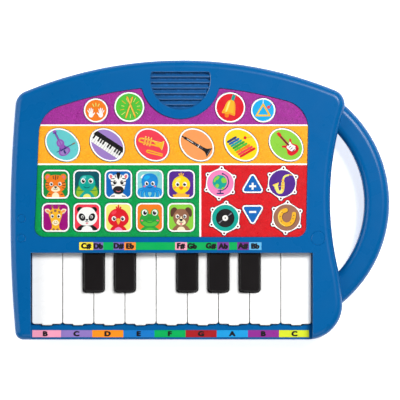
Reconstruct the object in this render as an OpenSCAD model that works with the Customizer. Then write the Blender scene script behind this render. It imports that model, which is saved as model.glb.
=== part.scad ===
// Toy electronic keyboard: nine white and five black keys, twenty-six picture buttons, a speaker
// and a carrying handle, built into a two-part casing that runs on three AA cells.
// It lies on its feet with the keys towards -Y: +X is the player's right, +Y the far side, +Z up.
// The origin is the middle of the footprint, on the surface that the feet stand on.

/* [Body] */
// Width over the casing and the handle
overall_w = 292; // [291.5:0.1:292.5]
// Depth from the front edge to the crown of the far edge
overall_d = 215.2; // [214.8:0.1:215.6]
// Height of the front face above the surface the feet stand on
top_z = 34; // [33.8:0.1:35]
// Height of the joint between the two casing halves
parting_z = 17; // [16.8:0.1:17.2]
// Wall thickness of both casing halves
wall = 2.2; // [2:0.1:2.4]
// Thickness of the rubber feet
foot_h = 1.5; // [1.4:0.1:1.6]

/* [Keys] */
// Distance from one white key to the next
key_pitch = 24; // [23.9:0.05:24.05]
// Width of a black key
black_w = 15.9; // [15.5:0.1:16.2]
// Height of the white keys' tops
white_z = 26.5; // [26:0.1:27]
// Height of the black keys' tops
black_z = 31.2; // [30.5:0.1:31.3]

/* [Buttons] */
// Gap between a button and the hole it moves in
button_gap = 0.35; // [0.3:0.05:0.4]
// Width of the raised white rim round each picture
rim_w = 1.1; // [0.9:0.1:1.3]

/* [Handle] */
// Width of the handle's grip, seen from above
handle_w = 19.5; // [19:0.1:20]
// Thickness of the handle's grip
handle_t = 19; // [18.5:0.1:19.5]

/* [Hidden] */
$fn = 48;
SLIP = 0.01; // overshoot that keeps a cut clean

// Outline of the casing: a chain of arcs, each tangent to the next.
front_y = -overall_d / 2;
crown_r = 315;
crown_c = [-14.2, overall_d / 2 - crown_r];
left_r = 1000;
left_c = [left_r - overall_w / 2, -15.4];
waist_r = 235;
waist_c = [100.3 + waist_r, 0];
corner_r = 12;
front_left_r = 6.5;
front_right_r = 27;
flank_r = 180;
front_right_c = [109.6 - front_right_r, front_y + front_right_r];
flank_c = meet(front_right_c, flank_r - front_right_r, waist_c, waist_r + flank_r, 1);
rear_right_c = meet(crown_c, crown_r - corner_r, waist_c, waist_r + corner_r, 1);
rear_left_c = meet(crown_c, crown_r - corner_r, left_c, left_r - corner_r, 1);
front_left_y = front_y + front_left_r;
front_left_c = [
    left_c.x - sqrt(pow(left_r - front_left_r, 2) - pow(front_left_y - left_c.y, 2)),
    front_left_y
];
edge_round = 5.8; // rounding of the casing's top and bottom edges
inner_step = 2.3; // how far the walls step in over the floor and under the roof
floor_z = foot_h + wall;
roof_z = top_z - wall;

// Recessed panel that carries the buttons.
panel_r = crown_r - 20;
panel_left_n = [cos(177.43), sin(177.43)];
panel_left_p = 126.3;
panel_right_n = [cos(-1.2), sin(-1.2)];
panel_right_p = 82.1;
panel_y = -28.6;
panel_upper_r = 22;
panel_lower_r = 7.5;
cusp_r = 1.6;
deck_z = top_z - 1.7;
deck_t = 2;
sheet_t = 0.4;

// Note strips, over the black keys and in front of the white ones.
sharps_x = [-93, 47.4];
sharps_y = [-38.5, -32.4];
naturals_x = [-129.3, 84.2];
naturals_y = [-105.8, -100.2];
strip_t = 0.2;

// Speaker grille, inside the round notch of the panel.
notch_c = [-15.1, 92.8];
notch_r = 30.4;
grille_r = 22.9;
grille_top_y = 98.4;
grille_z = top_z - 1;
slot_pitch = 4.3;
slot_h = 1.9;
speaker_c = [-15.1, 82.4];
speaker_r = 20.2;
speaker_z = deck_z - deck_t - 0.2;

// Keys. A white key turns on the rod behind the window.
keys_x = -129.8;
key_gap = 0.5;
black_gap = 0.4;
white_front_y = -95.5;
black_front_y = -70.6;
window_y = -40.8;
window_x = [keys_x - 0.4, keys_x + 9 * key_pitch + 0.4];
rail_y = -96;
rail_z = 24;
pivot = [-31, 21.5]; // y and z of the rod
rod_r = 1.5;
key_bore_r = rod_r + 0.06;
hub_r = 3.4;
skirt_z = 16;
tail_y = -35;
key_end_y = -27.2;
tail_z = 18.1;
tail_inset = 1.25;
plunger_r = 2.2;
skin = 1.6;
black_front_r = 2.6;
white_front_r = 2;
tongue = [4.2, 1]; // half width and length of the tongue at a white key's front
tongue_slack = 0.6;
tooth = [1.3, 1.4]; // half width and length of the rail's teeth, which point in between the keys
WHITE_NAMES = ["b3", "c4", "d4", "e4", "f4", "g4", "a4", "b4", "c5"];
BLACK_NAMES = ["cs4", "ds4", "fs4", "gs4", "as4"];
BLACK_AT = [2, 3, 5, 6, 7]; // the joint between white keys that each black key stands over

// Key bed: a plate with guides that stand inside the keys, and plates that hold the rod.
bed_t = 2;
bed_margin = 2.3;
guide_z = 19;
holder_gap = 0.8;

// Boards and contact mats.
key_board_z = 7;
board_t = 1.6;
mat_t = 0.8;
white_dome_y = -78;
black_dome_y = -60;
key_dome_z = 12.6;
plunger_gap = 0.2;
main_board_z = 22;
main_dome_z = 27.2;
BOARD_POSTS = [[-103, 60], [68, 60], [-88.6, 42.4], [49, 42.4], [1.2, -22]];

// Battery box, for three AA cells side by side, opened from below.
cell_r = 7.15;
cell_pitch = 15.2;
cell_l = 50.5;
box_x = [-48.5, 14.5];
box_y = [2.5, 49.5];
box_z = 19.4;
box_wall = 1.7;
cell_c = [(box_x[0] + box_x[1]) / 2, (box_y[0] + box_y[1]) / 2, 11.4];
door_t = 1.8;
door_gap = 0.4;
hinge = [4.2, 2.6]; // y and z of the door's pins
hinge_pin_r = 0.75;
hinge_pin_l = 1.8;
hinge_bar_r = 1.1;
groove_pitch = 2.4;
door_seat_z = foot_h + 1.3;
door_screw = [-17, 53];
door_screw_hole_r = 1.9;
door_boss_r = 3.6;
door_boss_z = 12;
tab_w = 12;
tab_y = door_screw.y + 4.2;

// Power switch.
switch_c = [68, -52];
switch_travel = 4;

// Handle: an arc of a ring about its own centre.
handle_c = [overall_w / 2 - 100, -2.4];
handle_outer_r = 100;
handle_inner_r = handle_outer_r - handle_w;
handle_mid_r = (handle_outer_r + handle_inner_r) / 2;
handle_span = 58;
handle_hollow = 40;
tenon = [handle_mid_r - 4.2, handle_mid_r + 4.2];
tenon_h = 5;
tenon_gap = 0.1;
tenon_from = 44;
grip_round = 6;
grip_wall = 2;
grip_boss_r = 4;
grip_seat_z = parting_z - 6;
root_at = 55;
grip_screw_at = 25;

// Screws: places of the plain casing screws, and of the two that clamp the handle's roots.
CASING_SCREWS = [
    [-136.4, -94], [-137, -45], [-137, 8], [-131, 62],
    [-78, 90.5], [50, 90.5], [91.2, 8], [95, -33]
];
ROOT_SCREWS = [for (s = [-1, 1]) polar(handle_c, handle_mid_r, s * root_at)];
GRIP_SCREWS = [for (s = [-1, 1]) polar(handle_c, handle_mid_r, s * grip_screw_at)];
FEET = [[-122, -94], [84, -92], [-120, 66], [74, 70]];
screw_r = 1.4;
pilot_r = 1.45;
shank_hole_r = 1.7;
head_r = 2.8;
head_h = 1.8;
head_hole_r = 3.1;
seat_z = 10;
root_seat_z = 8;
boss_r = 3.5;
tower_r = 4.2;
board_post_r = 2;

// Buttons: name, shape and centre, then the radius, half-axes, sides or turn of the outline.
tile_pitch = [24.15, 25.5];
tile_size = [21.1, 22.2];
TILE_NAMES = [
    ["tiger", "turtle", "zebra", "octopus", "chick"],
    ["giraffe", "panda", "robin", "frog", "puppy"]
];
TOOL_NAMES = ["violin", "piano", "trumpet", "clarinet", "xylophone", "guitar"];
BUTTONS = concat(
    [
        ["clap", "round", [-80.1, 68.9], 9.3],
        ["sticks", "round", [-54.4, 71.5], 11.5],
        ["bell", "round", [23.2, 71.2], 11.6],
        ["triangle", "round", [48.6, 69], 9.4]
    ],
    [for (i = [0 : 5]) [TOOL_NAMES[i], "oval", [-105.8 + 34.4 * i, 42.4], [14.6, 11.5]]],
    [
        for (row = [0 : 1], i = [0 : 4])
            [TILE_NAMES[row][i], "tile", [-111.1 + tile_pitch.x * i, 12.1 - tile_pitch.y * row], tile_size]
    ],
    [
        ["globe", "drum", [15.6, 12.8], 85],
        ["saxophone", "drum", [63.2, 12.8], 85],
        ["record", "drum", [19.4, -13.9], 86],
        ["horseshoe", "drum", [66.6, -13.6], 86],
        ["volume_up", "wedge", [40.5, 11], 90],
        ["volume_down", "wedge", [40.5, -9.6], -90]
    ]
);

oval_turn = -40;
tile_round = 4.4;
drum_r = 12.6;
drum_well_r = 10.2;
drum_flange_r = 12.3;
lug_at = 11.7;
lug_r = 1.75;
wedge_at = 6.4;
wedge_r = 2.4;
well_z = top_z - 0.4;
flange_t = 1.2;
flange_z = deck_z - deck_t - 0.3; // top of a button's flange, which stops it under the deck
stem_r = 2.5;

// ---- Points ----

function polar(c, r, a) = c + r * [cos(a), sin(a)];

function arc(c, r, from, to, n) = [for (i = [0 : n - 1]) polar(c, r, from + (to - from) * i / n)];

function bearing(a, b) = atan2(b.y - a.y, b.x - a.x);

function positive(a) = a < 0 ? a + 360 : a;

// A range narrowed by that much at both ends.
function inside(x, by) = [x[0] + by, x[1] - by];

// The point at distance d1 from c1 and d2 from c2, left (side 1) or right (side -1) of c1 to c2.
function meet(c1, d1, c2, d2, side) =
    let (
        gap = norm(c2 - c1),
        u = (c2 - c1) / gap,
        along = (d1 * d1 - d2 * d2 + gap * gap) / (2 * gap)
    )
    c1 + along * u + side * sqrt(d1 * d1 - along * along) * [-u.y, u.x];

// The point at distance r from c on the line whose normal is n and whose distance is q.
function on_line(n, q, c, r, side) =
    let (d = q - c * n)
    c + d * n + side * sqrt(r * r - d * d) * [-n.y, n.x];

// The casing's outline, moved inwards by inset. It starts at the rear left.
function body_outline(inset = 0) =
    concat(
        arc(
            left_c, left_r - inset,
            bearing(left_c, rear_left_c), positive(bearing(left_c, front_left_c)), 8
        ),
        arc(front_left_c, front_left_r - inset, positive(bearing(left_c, front_left_c)), 270, 6),
        [polar(front_left_c, front_left_r - inset, 270)],
        arc(front_right_c, front_right_r - inset, -90, bearing(flank_c, front_right_c), 9),
        arc(flank_c, flank_r - inset, bearing(flank_c, front_right_c), bearing(flank_c, waist_c), 3),
        arc(
            waist_c, waist_r + inset,
            positive(bearing(waist_c, flank_c)), bearing(waist_c, rear_right_c), 10
        ),
        arc(
            rear_right_c, corner_r - inset,
            bearing(rear_right_c, waist_c), bearing(crown_c, rear_right_c), 6
        ),
        arc(crown_c, crown_r - inset, bearing(crown_c, rear_right_c), bearing(crown_c, rear_left_c), 18),
        arc(rear_left_c, corner_r - inset, bearing(crown_c, rear_left_c), bearing(left_c, rear_left_c), 6)
    );

// The panel's outline, moved inwards by inset. The notch's cusps keep their radius.
function panel_outline(inset = 0) =
    let (
        top_r = panel_r - inset,
        bite_r = notch_r + inset,
        upper_r = panel_upper_r - inset,
        lower_r = panel_lower_r - inset,
        corner_y = panel_y + panel_lower_r,
        right_a = atan2(panel_right_n.y, panel_right_n.x),
        left_a = atan2(panel_left_n.y, panel_left_n.x),
        right_x = (panel_right_p - panel_lower_r - panel_right_n.y * corner_y) / panel_right_n.x,
        low_right = [right_x, corner_y],
        low_left = [(panel_left_p - panel_lower_r - panel_left_n.y * corner_y) / panel_left_n.x, corner_y],
        reach = panel_r - panel_upper_r,
        up_right = on_line(panel_right_n, panel_right_p - panel_upper_r, crown_c, reach, 1),
        up_left = on_line(panel_left_n, panel_left_p - panel_upper_r, crown_c, reach, -1),
        cusp_right = meet(crown_c, top_r - cusp_r, notch_c, bite_r + cusp_r, -1),
        cusp_left = meet(crown_c, top_r - cusp_r, notch_c, bite_r + cusp_r, 1)
    )
    concat(
        arc(low_right, lower_r, -90, right_a, 6),
        [polar(low_right, lower_r, right_a)],
        arc(up_right, upper_r, right_a, bearing(crown_c, up_right), 8),
        arc(crown_c, top_r, bearing(crown_c, up_right), bearing(crown_c, cusp_right), 6),
        arc(cusp_right, cusp_r, bearing(crown_c, cusp_right), positive(bearing(cusp_right, notch_c)), 4),
        arc(notch_c, bite_r, bearing(notch_c, cusp_right), bearing(notch_c, cusp_left), 20),
        arc(cusp_left, cusp_r, bearing(cusp_left, notch_c), bearing(crown_c, cusp_left), 4),
        arc(crown_c, top_r, bearing(crown_c, cusp_left), bearing(crown_c, up_left), 6),
        arc(up_left, upper_r, bearing(crown_c, up_left), left_a, 8),
        [polar(up_left, upper_r, left_a)],
        arc(low_left, lower_r, left_a, 270, 6),
        [polar(low_left, lower_r, 270)]
    );

// A rectangle with round corners, about its centre.
function tile_outline(size, r, n = 4) =
    [
        for (q = [0 : 3])
            let (c = [(q == 0 || q == 3 ? 1 : -1) * (size.x / 2 - r), (q < 2 ? 1 : -1) * (size.y / 2 - r)])
            for (i = [0 : n]) polar(c, r, 90 * q + 90 * i / n)
    ];

function oval_outline(size, turn) =
    [
        for (a = [0 : 12 : 348])
            let (p = [size.x * cos(a), size.y * sin(a)])
            [p.x * cos(turn) - p.y * sin(turn), p.x * sin(turn) + p.y * cos(turn)]
    ];

// A hexagon with a round lug at each corner: the distance to its edge in the direction a.
function hexagon_reach(r, a) = r * cos(30) / cos((a + 360) % 60 - 30);

function lug_reach(at, r, a) =
    let (off = (a + 390) % 60 - 30, side = at * sin(off))
    abs(side) < r ? at * cos(off) + sqrt(r * r - side * side) : 0;

function drum_outline(turn, grow) =
    [
        for (a = [0 : 5 : 355])
            polar([0, 0], max(hexagon_reach(drum_r + grow, a), lug_reach(lug_at, lug_r + grow, a)), a + turn)
    ];

// A triangle with round corners, pointing in the direction turn.
function wedge_outline(turn, grow) =
    [
        for (corner = [0 : 2])
            let (at = turn + 120 * corner, c = polar([0, 0], wedge_at, at))
            for (i = [0 : 4]) polar(c, wedge_r + grow, at - 60 + 30 * i)
    ];

// The edge of a button, moved outwards by grow.
function button_outline(b, grow = 0) =
    b[1] == "oval" ? oval_outline([b[3].x + grow, b[3].y + grow], oval_turn)
    : b[1] == "tile" ? tile_outline([b[3].x + 2 * grow, b[3].y + 2 * grow], tile_round + grow)
    : b[1] == "drum" ? drum_outline(b[3], grow)
    : wedge_outline(b[3], grow);

// ---- Shared shapes ----

// A closed solid through casing outlines at [inset, height].
module casing_loft(levels) {
    n = len(body_outline());
    rings = len(levels);
    points = [for (l = levels, p = body_outline(l[0])) [p.x, p.y, l[1]]];
    sides = [
        for (k = [0 : rings - 2], i = [0 : n - 1])
            let (j = (i + 1) % n, low = k * n, high = low + n)
            each [[low + i, high + j, low + j], [low + i, high + i, high + j]]
    ];
    bottom = [for (i = [0 : n - 1]) i];
    top = [for (i = [0 : n - 1]) rings * n - 1 - i];
    fan_top = concat([top[n - 1]], [for (i = [0 : n - 2]) top[i]]);
    polyhedron(points, concat([bottom], sides, [fan_top]));
}

// Heights and insets of an edge rounded from the outer wall to a face at face_z.
function rounding(face_z, up) =
    [
        for (t = up > 0 ? [0 : 30 : 90] : [90 : -30 : 0])
            [edge_round * (1 - cos(t)), face_z - up * edge_round * (1 - sin(t))]
    ];

module prism(points, z0, z1) {
    translate([0, 0, z0]) linear_extrude(z1 - z0) polygon(points);
}

module block(x, y, z) {
    translate([x[0], y[0], z[0]]) cube([x[1] - x[0], y[1] - y[0], z[1] - z[0]]);
}

module post(at, r, z0, z1) {
    translate([at.x, at.y, z0]) cylinder(h = z1 - z0, r = r);
}

// A round bar along X at the height and depth of axis.
module bar(x, axis, r) {
    translate([x[0], axis[0], axis[1]]) rotate([0, 90, 0]) cylinder(h = x[1] - x[0], r = r);
}

// A stretch of a ring about the handle's centre, from a profile of [radius, height].
module handle_ring(profile, from, to) {
    translate(concat(handle_c, [0]))
        rotate([0, 0, from])
            rotate_extrude(angle = to - from) polygon(profile);
}

function ring_box(radii, z) =
    [[radii[0], z[0]], [radii[1], z[0]], [radii[1], z[1]], [radii[0], z[1]]];

// Both tenons that carry the handle, or the slots that they pass through.
module root_tenons(z, slack = 0) {
    profile = ring_box([tenon[0] - slack, tenon[1] + slack], z);
    to = root_at + 3 + slack;
    handle_ring(profile, tenon_from, to);
    handle_ring(profile, -to, -tenon_from);
}

// A button's shape about its own centre, moved outwards by grow.
module button_prism(b, grow, z0, z1) {
    if (b[1] == "round") post([0, 0], b[3] + grow, z0, z1);
    else prism(button_outline(b, grow), z0, z1);
}

module button_holes(z0, z1, gap) {
    for (b = BUTTONS) translate([b[2].x, b[2].y, 0]) button_prism(b, gap, z0, z1);
}

// ---- Casing ----

module grille_area() {
    intersection() {
        translate(notch_c) circle(r = grille_r);
        translate([notch_c.x - grille_r, notch_c.y - grille_r])
            square([2 * grille_r, grille_top_y - notch_c.y + grille_r]);
    }
}

module grille_slots() {
    translate([0, 0, grille_z]) linear_extrude(top_z) grille_area();
    translate([0, 0, speaker_z])
        linear_extrude(top_z)
            intersection() {
                grille_area();
                for (i = [0 : 6])
                    translate([notch_c.x - grille_r, grille_top_y - slot_pitch * i - slot_h])
                        square([2 * grille_r, slot_h]);
            }
}

// The keys' window. Its front edge follows the white keys, and points in between every two of them.
function window_outline() =
    concat(
        [[window_x[1], rail_y + tooth.y], [window_x[1], window_y], [window_x[0], window_y]],
        [
            for (i = [0 : 8])
                let (reach = tongue.x + tongue_slack, x = [white_middle(i) - reach, white_middle(i) + reach])
                for (p = [
                    [i == 0 ? window_x[0] : joint_x(i), rail_y + tooth.y],
                    [joint_x(i) + tooth.x, rail_y],
                    [x[0], rail_y],
                    [x[0], rail_y - tongue.y],
                    [x[1], rail_y - tongue.y],
                    [x[1], rail_y],
                    [joint_x(i + 1) - tooth.x, rail_y]
                ])
                    p
        ]
    );

// What stands inside the front casing: the deck under the panel, the rail, cheeks and bosses.
module front_inner_walls() {
    prism(panel_outline(-wall), deck_z - deck_t, top_z);
    block([-139, 94], [front_y, rail_y + tooth.y + 1], [parting_z, rail_z]);
    block([window_x[0] - 2, window_x[0]], [front_y, window_y], [parting_z, top_z]);
    block([window_x[1], window_x[1] + 2], [front_y, window_y], [parting_z, top_z]);
    difference() {
        post(speaker_c, speaker_r + 2, speaker_z - 1.8, top_z);
        post(speaker_c, speaker_r + 0.3, speaker_z - 3, roof_z);
    }
    for (s = CASING_SCREWS) post(s, boss_r, parting_z, top_z);
    for (s = ROOT_SCREWS) post(s, boss_r, parting_z + tenon_h + 0.4, top_z);
    for (s = BOARD_POSTS) post(s, board_post_r, main_board_z + board_t, top_z);
}

module front_cavity() {
    difference() {
        union() {
            prism(body_outline(wall), parting_z - 1, top_z - 4.5);
            prism(body_outline(wall + inner_step), top_z - 5, roof_z);
        }
        front_inner_walls();
    }
    block([window_x[0] + 4, window_x[1] - 4], [front_y + 2.4, rail_y - 3], [parting_z - 1, rail_z - 2.2]);
}

module front_casing() {
    color("royalblue")
        difference() {
            casing_loft(concat([[0, parting_z]], rounding(top_z, 1)));
            front_cavity();
            prism(panel_outline(), deck_z, top_z + 1);
            button_holes(deck_z - deck_t - 1, deck_z + 1, button_gap);
            prism(window_outline(), parting_z - 1, top_z + 1);
            block(window_x, [front_y - 1, rail_y + tooth.y + 2], [rail_z, top_z + 1]);
            strip_areas(strip_t, 1);
            grille_slots();
            root_tenons([parting_z - 1, parting_z + tenon_h + 0.3], 0.3);
            for (s = CASING_SCREWS) post(s, pilot_r, parting_z - 1, 27);
            for (s = ROOT_SCREWS) post(s, pilot_r, parting_z, 30);
            for (s = BOARD_POSTS) post(s, 1.05, main_board_z, 30);
        }
}

// The two note strips: deep below the face they are stuck to, and proud of it.
module strip_areas(deep, proud, shrink = 0) {
    block(inside(sharps_x, shrink), inside(sharps_y, shrink), [top_z - deep, top_z + proud]);
    block(inside(naturals_x, shrink), inside(naturals_y, shrink), [rail_z - deep, rail_z + proud]);
}

module battery_box_outer() {
    block(
        [box_x[0] - box_wall, box_x[1] + box_wall],
        [box_y[0] - box_wall, box_y[1] + box_wall],
        [foot_h, box_z + box_wall]
    );
}

module rear_towers() {
    for (s = CASING_SCREWS) post(s, tower_r, foot_h, parting_z);
    for (s = ROOT_SCREWS) post(s, tower_r, foot_h, parting_z - tenon_h - 0.4);
    post(door_screw, door_boss_r, foot_h, door_boss_z);
    block(
        [door_screw.x - tab_w / 2 - 2, door_screw.x + tab_w / 2 + 2],
        [box_y[1] + box_wall, tab_y + 2],
        [foot_h, foot_h + door_t + 2]
    );
    for (x = [-120, -70, -14, 30, 76], y = [-92, -30]) post([x, y], 2.5, foot_h, key_board_z - bed_t);
}

module rear_screw_holes() {
    for (s = CASING_SCREWS) {
        post(s, head_hole_r, 0, seat_z);
        post(s, shank_hole_r, 0, parting_z + 1);
    }
    for (s = ROOT_SCREWS) {
        post(s, head_hole_r, 0, root_seat_z);
        post(s, shank_hole_r, 0, parting_z + 1);
    }
}

// The battery box's opening, the recess for the door's screw tab and the door's pin holes.
module door_opening() {
    block(box_x, box_y, [foot_h - 1, box_z]);
    block(
        [door_screw.x - tab_w / 2 - door_gap, door_screw.x + tab_w / 2 + door_gap],
        [box_y[1] - 1, tab_y + door_gap],
        [foot_h - 1, foot_h + door_t + 0.3]
    );
    post(door_screw, door_screw_hole_r, foot_h, door_boss_z - 1);
    bar([box_x[0] - 1.6, box_x[1] + 1.6], hinge, hinge_pin_r + 0.06);
}

module switch_opening() {
    switch_space([6, 4], [foot_h - 1, foot_h + 1.2]);
    switch_space([1.8, 1.4], [foot_h, floor_z + 1]);
}

// The box that reaches that far round the switch's centre, all along its travel.
module switch_space(reach, z) {
    x = [switch_c.x - reach.x, switch_c.x + switch_travel + reach.x];
    block(x, [switch_c.y - reach.y, switch_c.y + reach.y], z);
}

module rear_cavity() {
    difference() {
        union() {
            prism(body_outline(wall), foot_h + 5, parting_z + 1);
            prism(body_outline(wall + inner_step), floor_z, foot_h + 6);
        }
        battery_box_outer();
        rear_towers();
    }
}

module rear_casing() {
    color("royalblue")
        difference() {
            union() {
                difference() {
                    casing_loft(concat(rounding(foot_h, -1), [[0, parting_z]]));
                    rear_cavity();
                }
                battery_box_top();
            }
            door_opening();
            switch_opening();
            rear_screw_holes();
            root_tenons([parting_z - tenon_h - 0.3, parting_z + 1], 0.3);
        }
}

// The part of the battery box that stands above the parting plane.
module battery_box_top() {
    block(
        [box_x[0] - box_wall, box_x[1] + box_wall],
        [box_y[0] - box_wall, box_y[1] + box_wall],
        [parting_z - 1, box_z + box_wall]
    );
}

// ---- Handle ----

// Half of the grip's profile, outwards from past the parting plane, shrunk by inset. side is 1 or -1.
function grip_profile(side, inset = 0, past = 0) =
    let (
        r = grip_round - inset,
        inner = handle_inner_r + grip_round,
        outer = handle_outer_r - grip_round,
        far = parting_z + side * (handle_t / 2 - grip_round)
    )
    concat(
        [[handle_inner_r + inset, parting_z - side * past]],
        [for (i = [0 : 5]) [inner - r * cos(18 * i), far + side * r * sin(18 * i)]],
        [for (i = [5 : -1 : 0]) [outer + r * cos(18 * i), far + side * r * sin(18 * i)]],
        [[handle_outer_r - inset, parting_z - side * past]]
    );

module handle_shell(side) {
    z = parting_z;
    far_z = [z - handle_t / 2 - 1, z + handle_t / 2 + 1];
    difference() {
        union() {
            difference() {
                handle_ring(grip_profile(side), -handle_span, handle_span);
                prism(body_outline(), -1, top_z + 1);
                difference() {
                    handle_ring(grip_profile(side, grip_wall, 1), -handle_hollow, handle_hollow);
                    for (s = GRIP_SCREWS) post(s, grip_boss_r, far_z[0], far_z[1]);
                }
            }
            root_tenons(side > 0 ? [z + tenon_gap, z + tenon_h] : [z - tenon_h, z - tenon_gap]);
        }
        for (s = ROOT_SCREWS) post(s, shank_hole_r, z - tenon_h - 1, z + tenon_h + 1);
        for (s = GRIP_SCREWS)
            if (side > 0) post(s, pilot_r, z - 1, z + 7.5);
            else {
                post(s, shank_hole_r, far_z[0], z + 1);
                post(s, head_hole_r, far_z[0], grip_seat_z);
            }
    }
}

// ---- Printed pieces ----

module artwork_panel() {
    color("gold")
        difference() {
            prism(panel_outline(0.3), deck_z, deck_z + sheet_t);
            button_holes(deck_z - 1, top_z, button_gap + 0.1);
        }
}

module note_label_strips() {
    color("limegreen") strip_areas(strip_t, 0, 0.1);
}

// ---- Electronics ----

module button_circuit_board() {
    color("darkgreen") {
        difference() {
            prism(panel_outline(3), main_board_z, main_board_z + board_t);
            for (s = BOARD_POSTS) post(s, 1.2, main_board_z - 1, main_board_z + 3);
        }
        post([-80, 20], 6, main_board_z - 1.5, main_board_z);
        block([40, 52], [10, 18], [main_board_z - 6, main_board_z]);
        post([62, 20], 3.2, main_board_z - 11, main_board_z);
    }
}

module button_contact_mat() {
    z = main_board_z + board_t;
    color("lightgray") {
        difference() {
            prism(panel_outline(4.5), z, z + mat_t);
            for (s = BOARD_POSTS) post(s, 2.6, z - 1, z + 2);
        }
        for (b = BUTTONS) dome(b[2].x, b[2].y, z, main_dome_z);
    }
}

module key_circuit_board() {
    z = key_board_z;
    color("darkgreen") {
        block([-126, 82], [-88, -46], [z, z + board_t]);
        difference() {
            switch_space([5, 3], [floor_z + 0.1, z]);
            switch_space([2, 1.5], [0, z - 1]);
        }
    }
}

module key_contact_mat() {
    z = key_board_z + board_t;
    color("lightgray") {
        block([-124, 80], [-84, -54], [z, z + mat_t]);
        for (i = [0 : 8]) dome(white_middle(i), white_dome_y, z, key_dome_z);
        for (k = BLACK_AT) dome(joint_x(k), black_dome_y, z, key_dome_z);
    }
}

// A rubber dome that stands on a mat's board.
module dome(x, y, z0, z1) {
    translate([x, y, z0]) cylinder(h = z1 - z0, r1 = 4, r2 = 2.8);
}

// Magnet, basket and rim, then the surround, the cone and the dust cap.
module speaker_driver() {
    color("dimgray")
        translate([speaker_c.x, speaker_c.y, speaker_z])
            rotate_extrude()
                polygon([
                    [0, -17], [12.5, -17], [12.5, -9], [18.5, -1.8], [speaker_r, -1.8],
                    [speaker_r, 0], [18.2, 0], [17.6, -1], [6, -6], [4, -4.6], [0, -3.8]
                ]);
}

module battery_cells() {
    color("darkorange")
        for (k = [-1 : 1])
            translate([cell_c.x - cell_l / 2, cell_c.y + cell_pitch * k, cell_c.z])
                rotate([0, 90, 0])
                    translate([0, 0, k == 0 ? 0 : 1]) {
                        cylinder(h = cell_l - 1, r = cell_r);
                        translate([0, 0, k == 0 ? cell_l - 1 : -1]) cylinder(h = 1, r = 2.7);
                    }
}

// A closed wire along a helix that narrows from radius r0 to r1 over the length l.
module coil(r0, r1, l, turns, wire) {
    steps = 14 * turns;
    edges = 6;
    points = [
        for (i = [0 : steps])
            let (t = i / steps, a = 360 * turns * t, r = r0 + (r1 - r0) * t)
            for (k = [0 : edges - 1])
                let (q = r + wire * cos(60 * k)) [q * cos(a), q * sin(a), l * t + wire * sin(60 * k)]
    ];
    sides = [
        for (i = [0 : steps - 1], k = [0 : edges - 1])
            let (j = (k + 1) % edges, low = i * edges, high = low + edges)
            each [[low + k, low + j, high + j], [low + k, high + j, high + k]]
    ];
    start = [for (k = [0 : edges - 1]) edges - 1 - k];
    end = [for (k = [0 : edges - 1]) steps * edges + k];
    polyhedron(points, concat([start], sides, [end]));
}

// A plate at each end of every cell, with a spring where the cell's flat end meets it.
module battery_contacts() {
    reach = box_x[1] - cell_c.x;
    color("silver")
        for (side = [-1, 1], k = [-1 : 1])
            translate([cell_c.x, cell_c.y + cell_pitch * k, cell_c.z])
                rotate([0, side > 0 ? 90 : -90, 0]) {
                    block([-6, 6], [-6.5, 6.5], [reach - 0.5, reach]);
                    if ((k == 0) == (side < 0))
                        translate([0, 0, cell_l / 2 + 0.55])
                            coil(3, 5, reach - cell_l / 2 - 1.5, 3, 0.4);
                }
}

module battery_door() {
    x = [box_x[0] + door_gap, box_x[1] - door_gap];
    z = [foot_h, foot_h + door_t];
    tab = [door_screw.x - tab_w / 2, door_screw.x + tab_w / 2];
    color("royalblue")
        difference() {
            union() {
                block(x, [hinge[0], box_y[1] - door_gap], z);
                block(tab, [box_y[1] - door_gap - SLIP, tab_y], z);
                bar(x, hinge, hinge_bar_r);
                bar([x[0] - hinge_pin_l, x[1] + hinge_pin_l], hinge, hinge_pin_r);
            }
            post(door_screw, 3, foot_h - 1, door_seat_z);
            post(door_screw, pilot_r, foot_h - 1, foot_h + 3);
            for (i = [0 : 5])
                block([-28, -6], [9 + groove_pitch * i, 9 + groove_pitch * (i + 0.5)], [0, foot_h + 0.5]);
        }
}

module battery_door_screw() {
    color("silver") screw(door_screw, door_seat_z, 9, 2.6, 1.2, 1.3);
}

module power_switch_knob() {
    x = switch_c.x;
    y = switch_c.y;
    color("black") {
        block([x - 1.5, x + 1.5], [y - 1, y + 1], [foot_h + 1, key_board_z - 1.4]);
        difference() {
            block([x - 4, x + 4], [y - 3.2, y + 3.2], [foot_h - 0.4, foot_h + 1]);
            for (i = [-1 : 1]) block([x + 2 * i - 0.5, x + 2 * i + 0.5], [y - 4, y + 4], [0, foot_h]);
        }
    }
}

// A pan-head screw driven upwards: its head's bearing face is at seat.
module screw(at, seat, tip, head = head_r, thick = head_h, shank = screw_r) {
    difference() {
        union() {
            post(at, head, seat - thick, seat);
            post(at, shank, seat - SLIP, tip);
        }
        for (a = [0, 90])
            translate([at.x, at.y, seat - thick])
                rotate([0, 0, a]) cube([2.4, 0.6, 1.6], center = true);
    }
}

module casing_screws() {
    color("silver") {
        for (s = CASING_SCREWS) screw(s, seat_z, 26);
        for (s = ROOT_SCREWS) screw(s, root_seat_z, 29);
        for (s = GRIP_SCREWS) screw(s, grip_seat_z, parting_z + 7);
        for (s = BOARD_POSTS) screw(s, main_board_z, 29, 2.2, 1.2, 1);
    }
}

module rubber_feet() {
    color("dimgray") for (f = FEET) post(f, 6, 0, foot_h);
}

// ---- Keys ----

function joint_x(i) = keys_x + key_pitch * i;

function white_middle(i) = joint_x(i + 0.5);

function has_black(i) = len([for (k = BLACK_AT) if (k == i) k]) > 0;

// Left and right edges of white key i where it passes between the black keys.
function neck_x(i) =
    [
        joint_x(i) + (has_black(i) ? black_w / 2 + black_gap : key_gap / 2),
        joint_x(i + 1) - (has_black(i + 1) ? black_w / 2 + black_gap : key_gap / 2)
    ];

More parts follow.
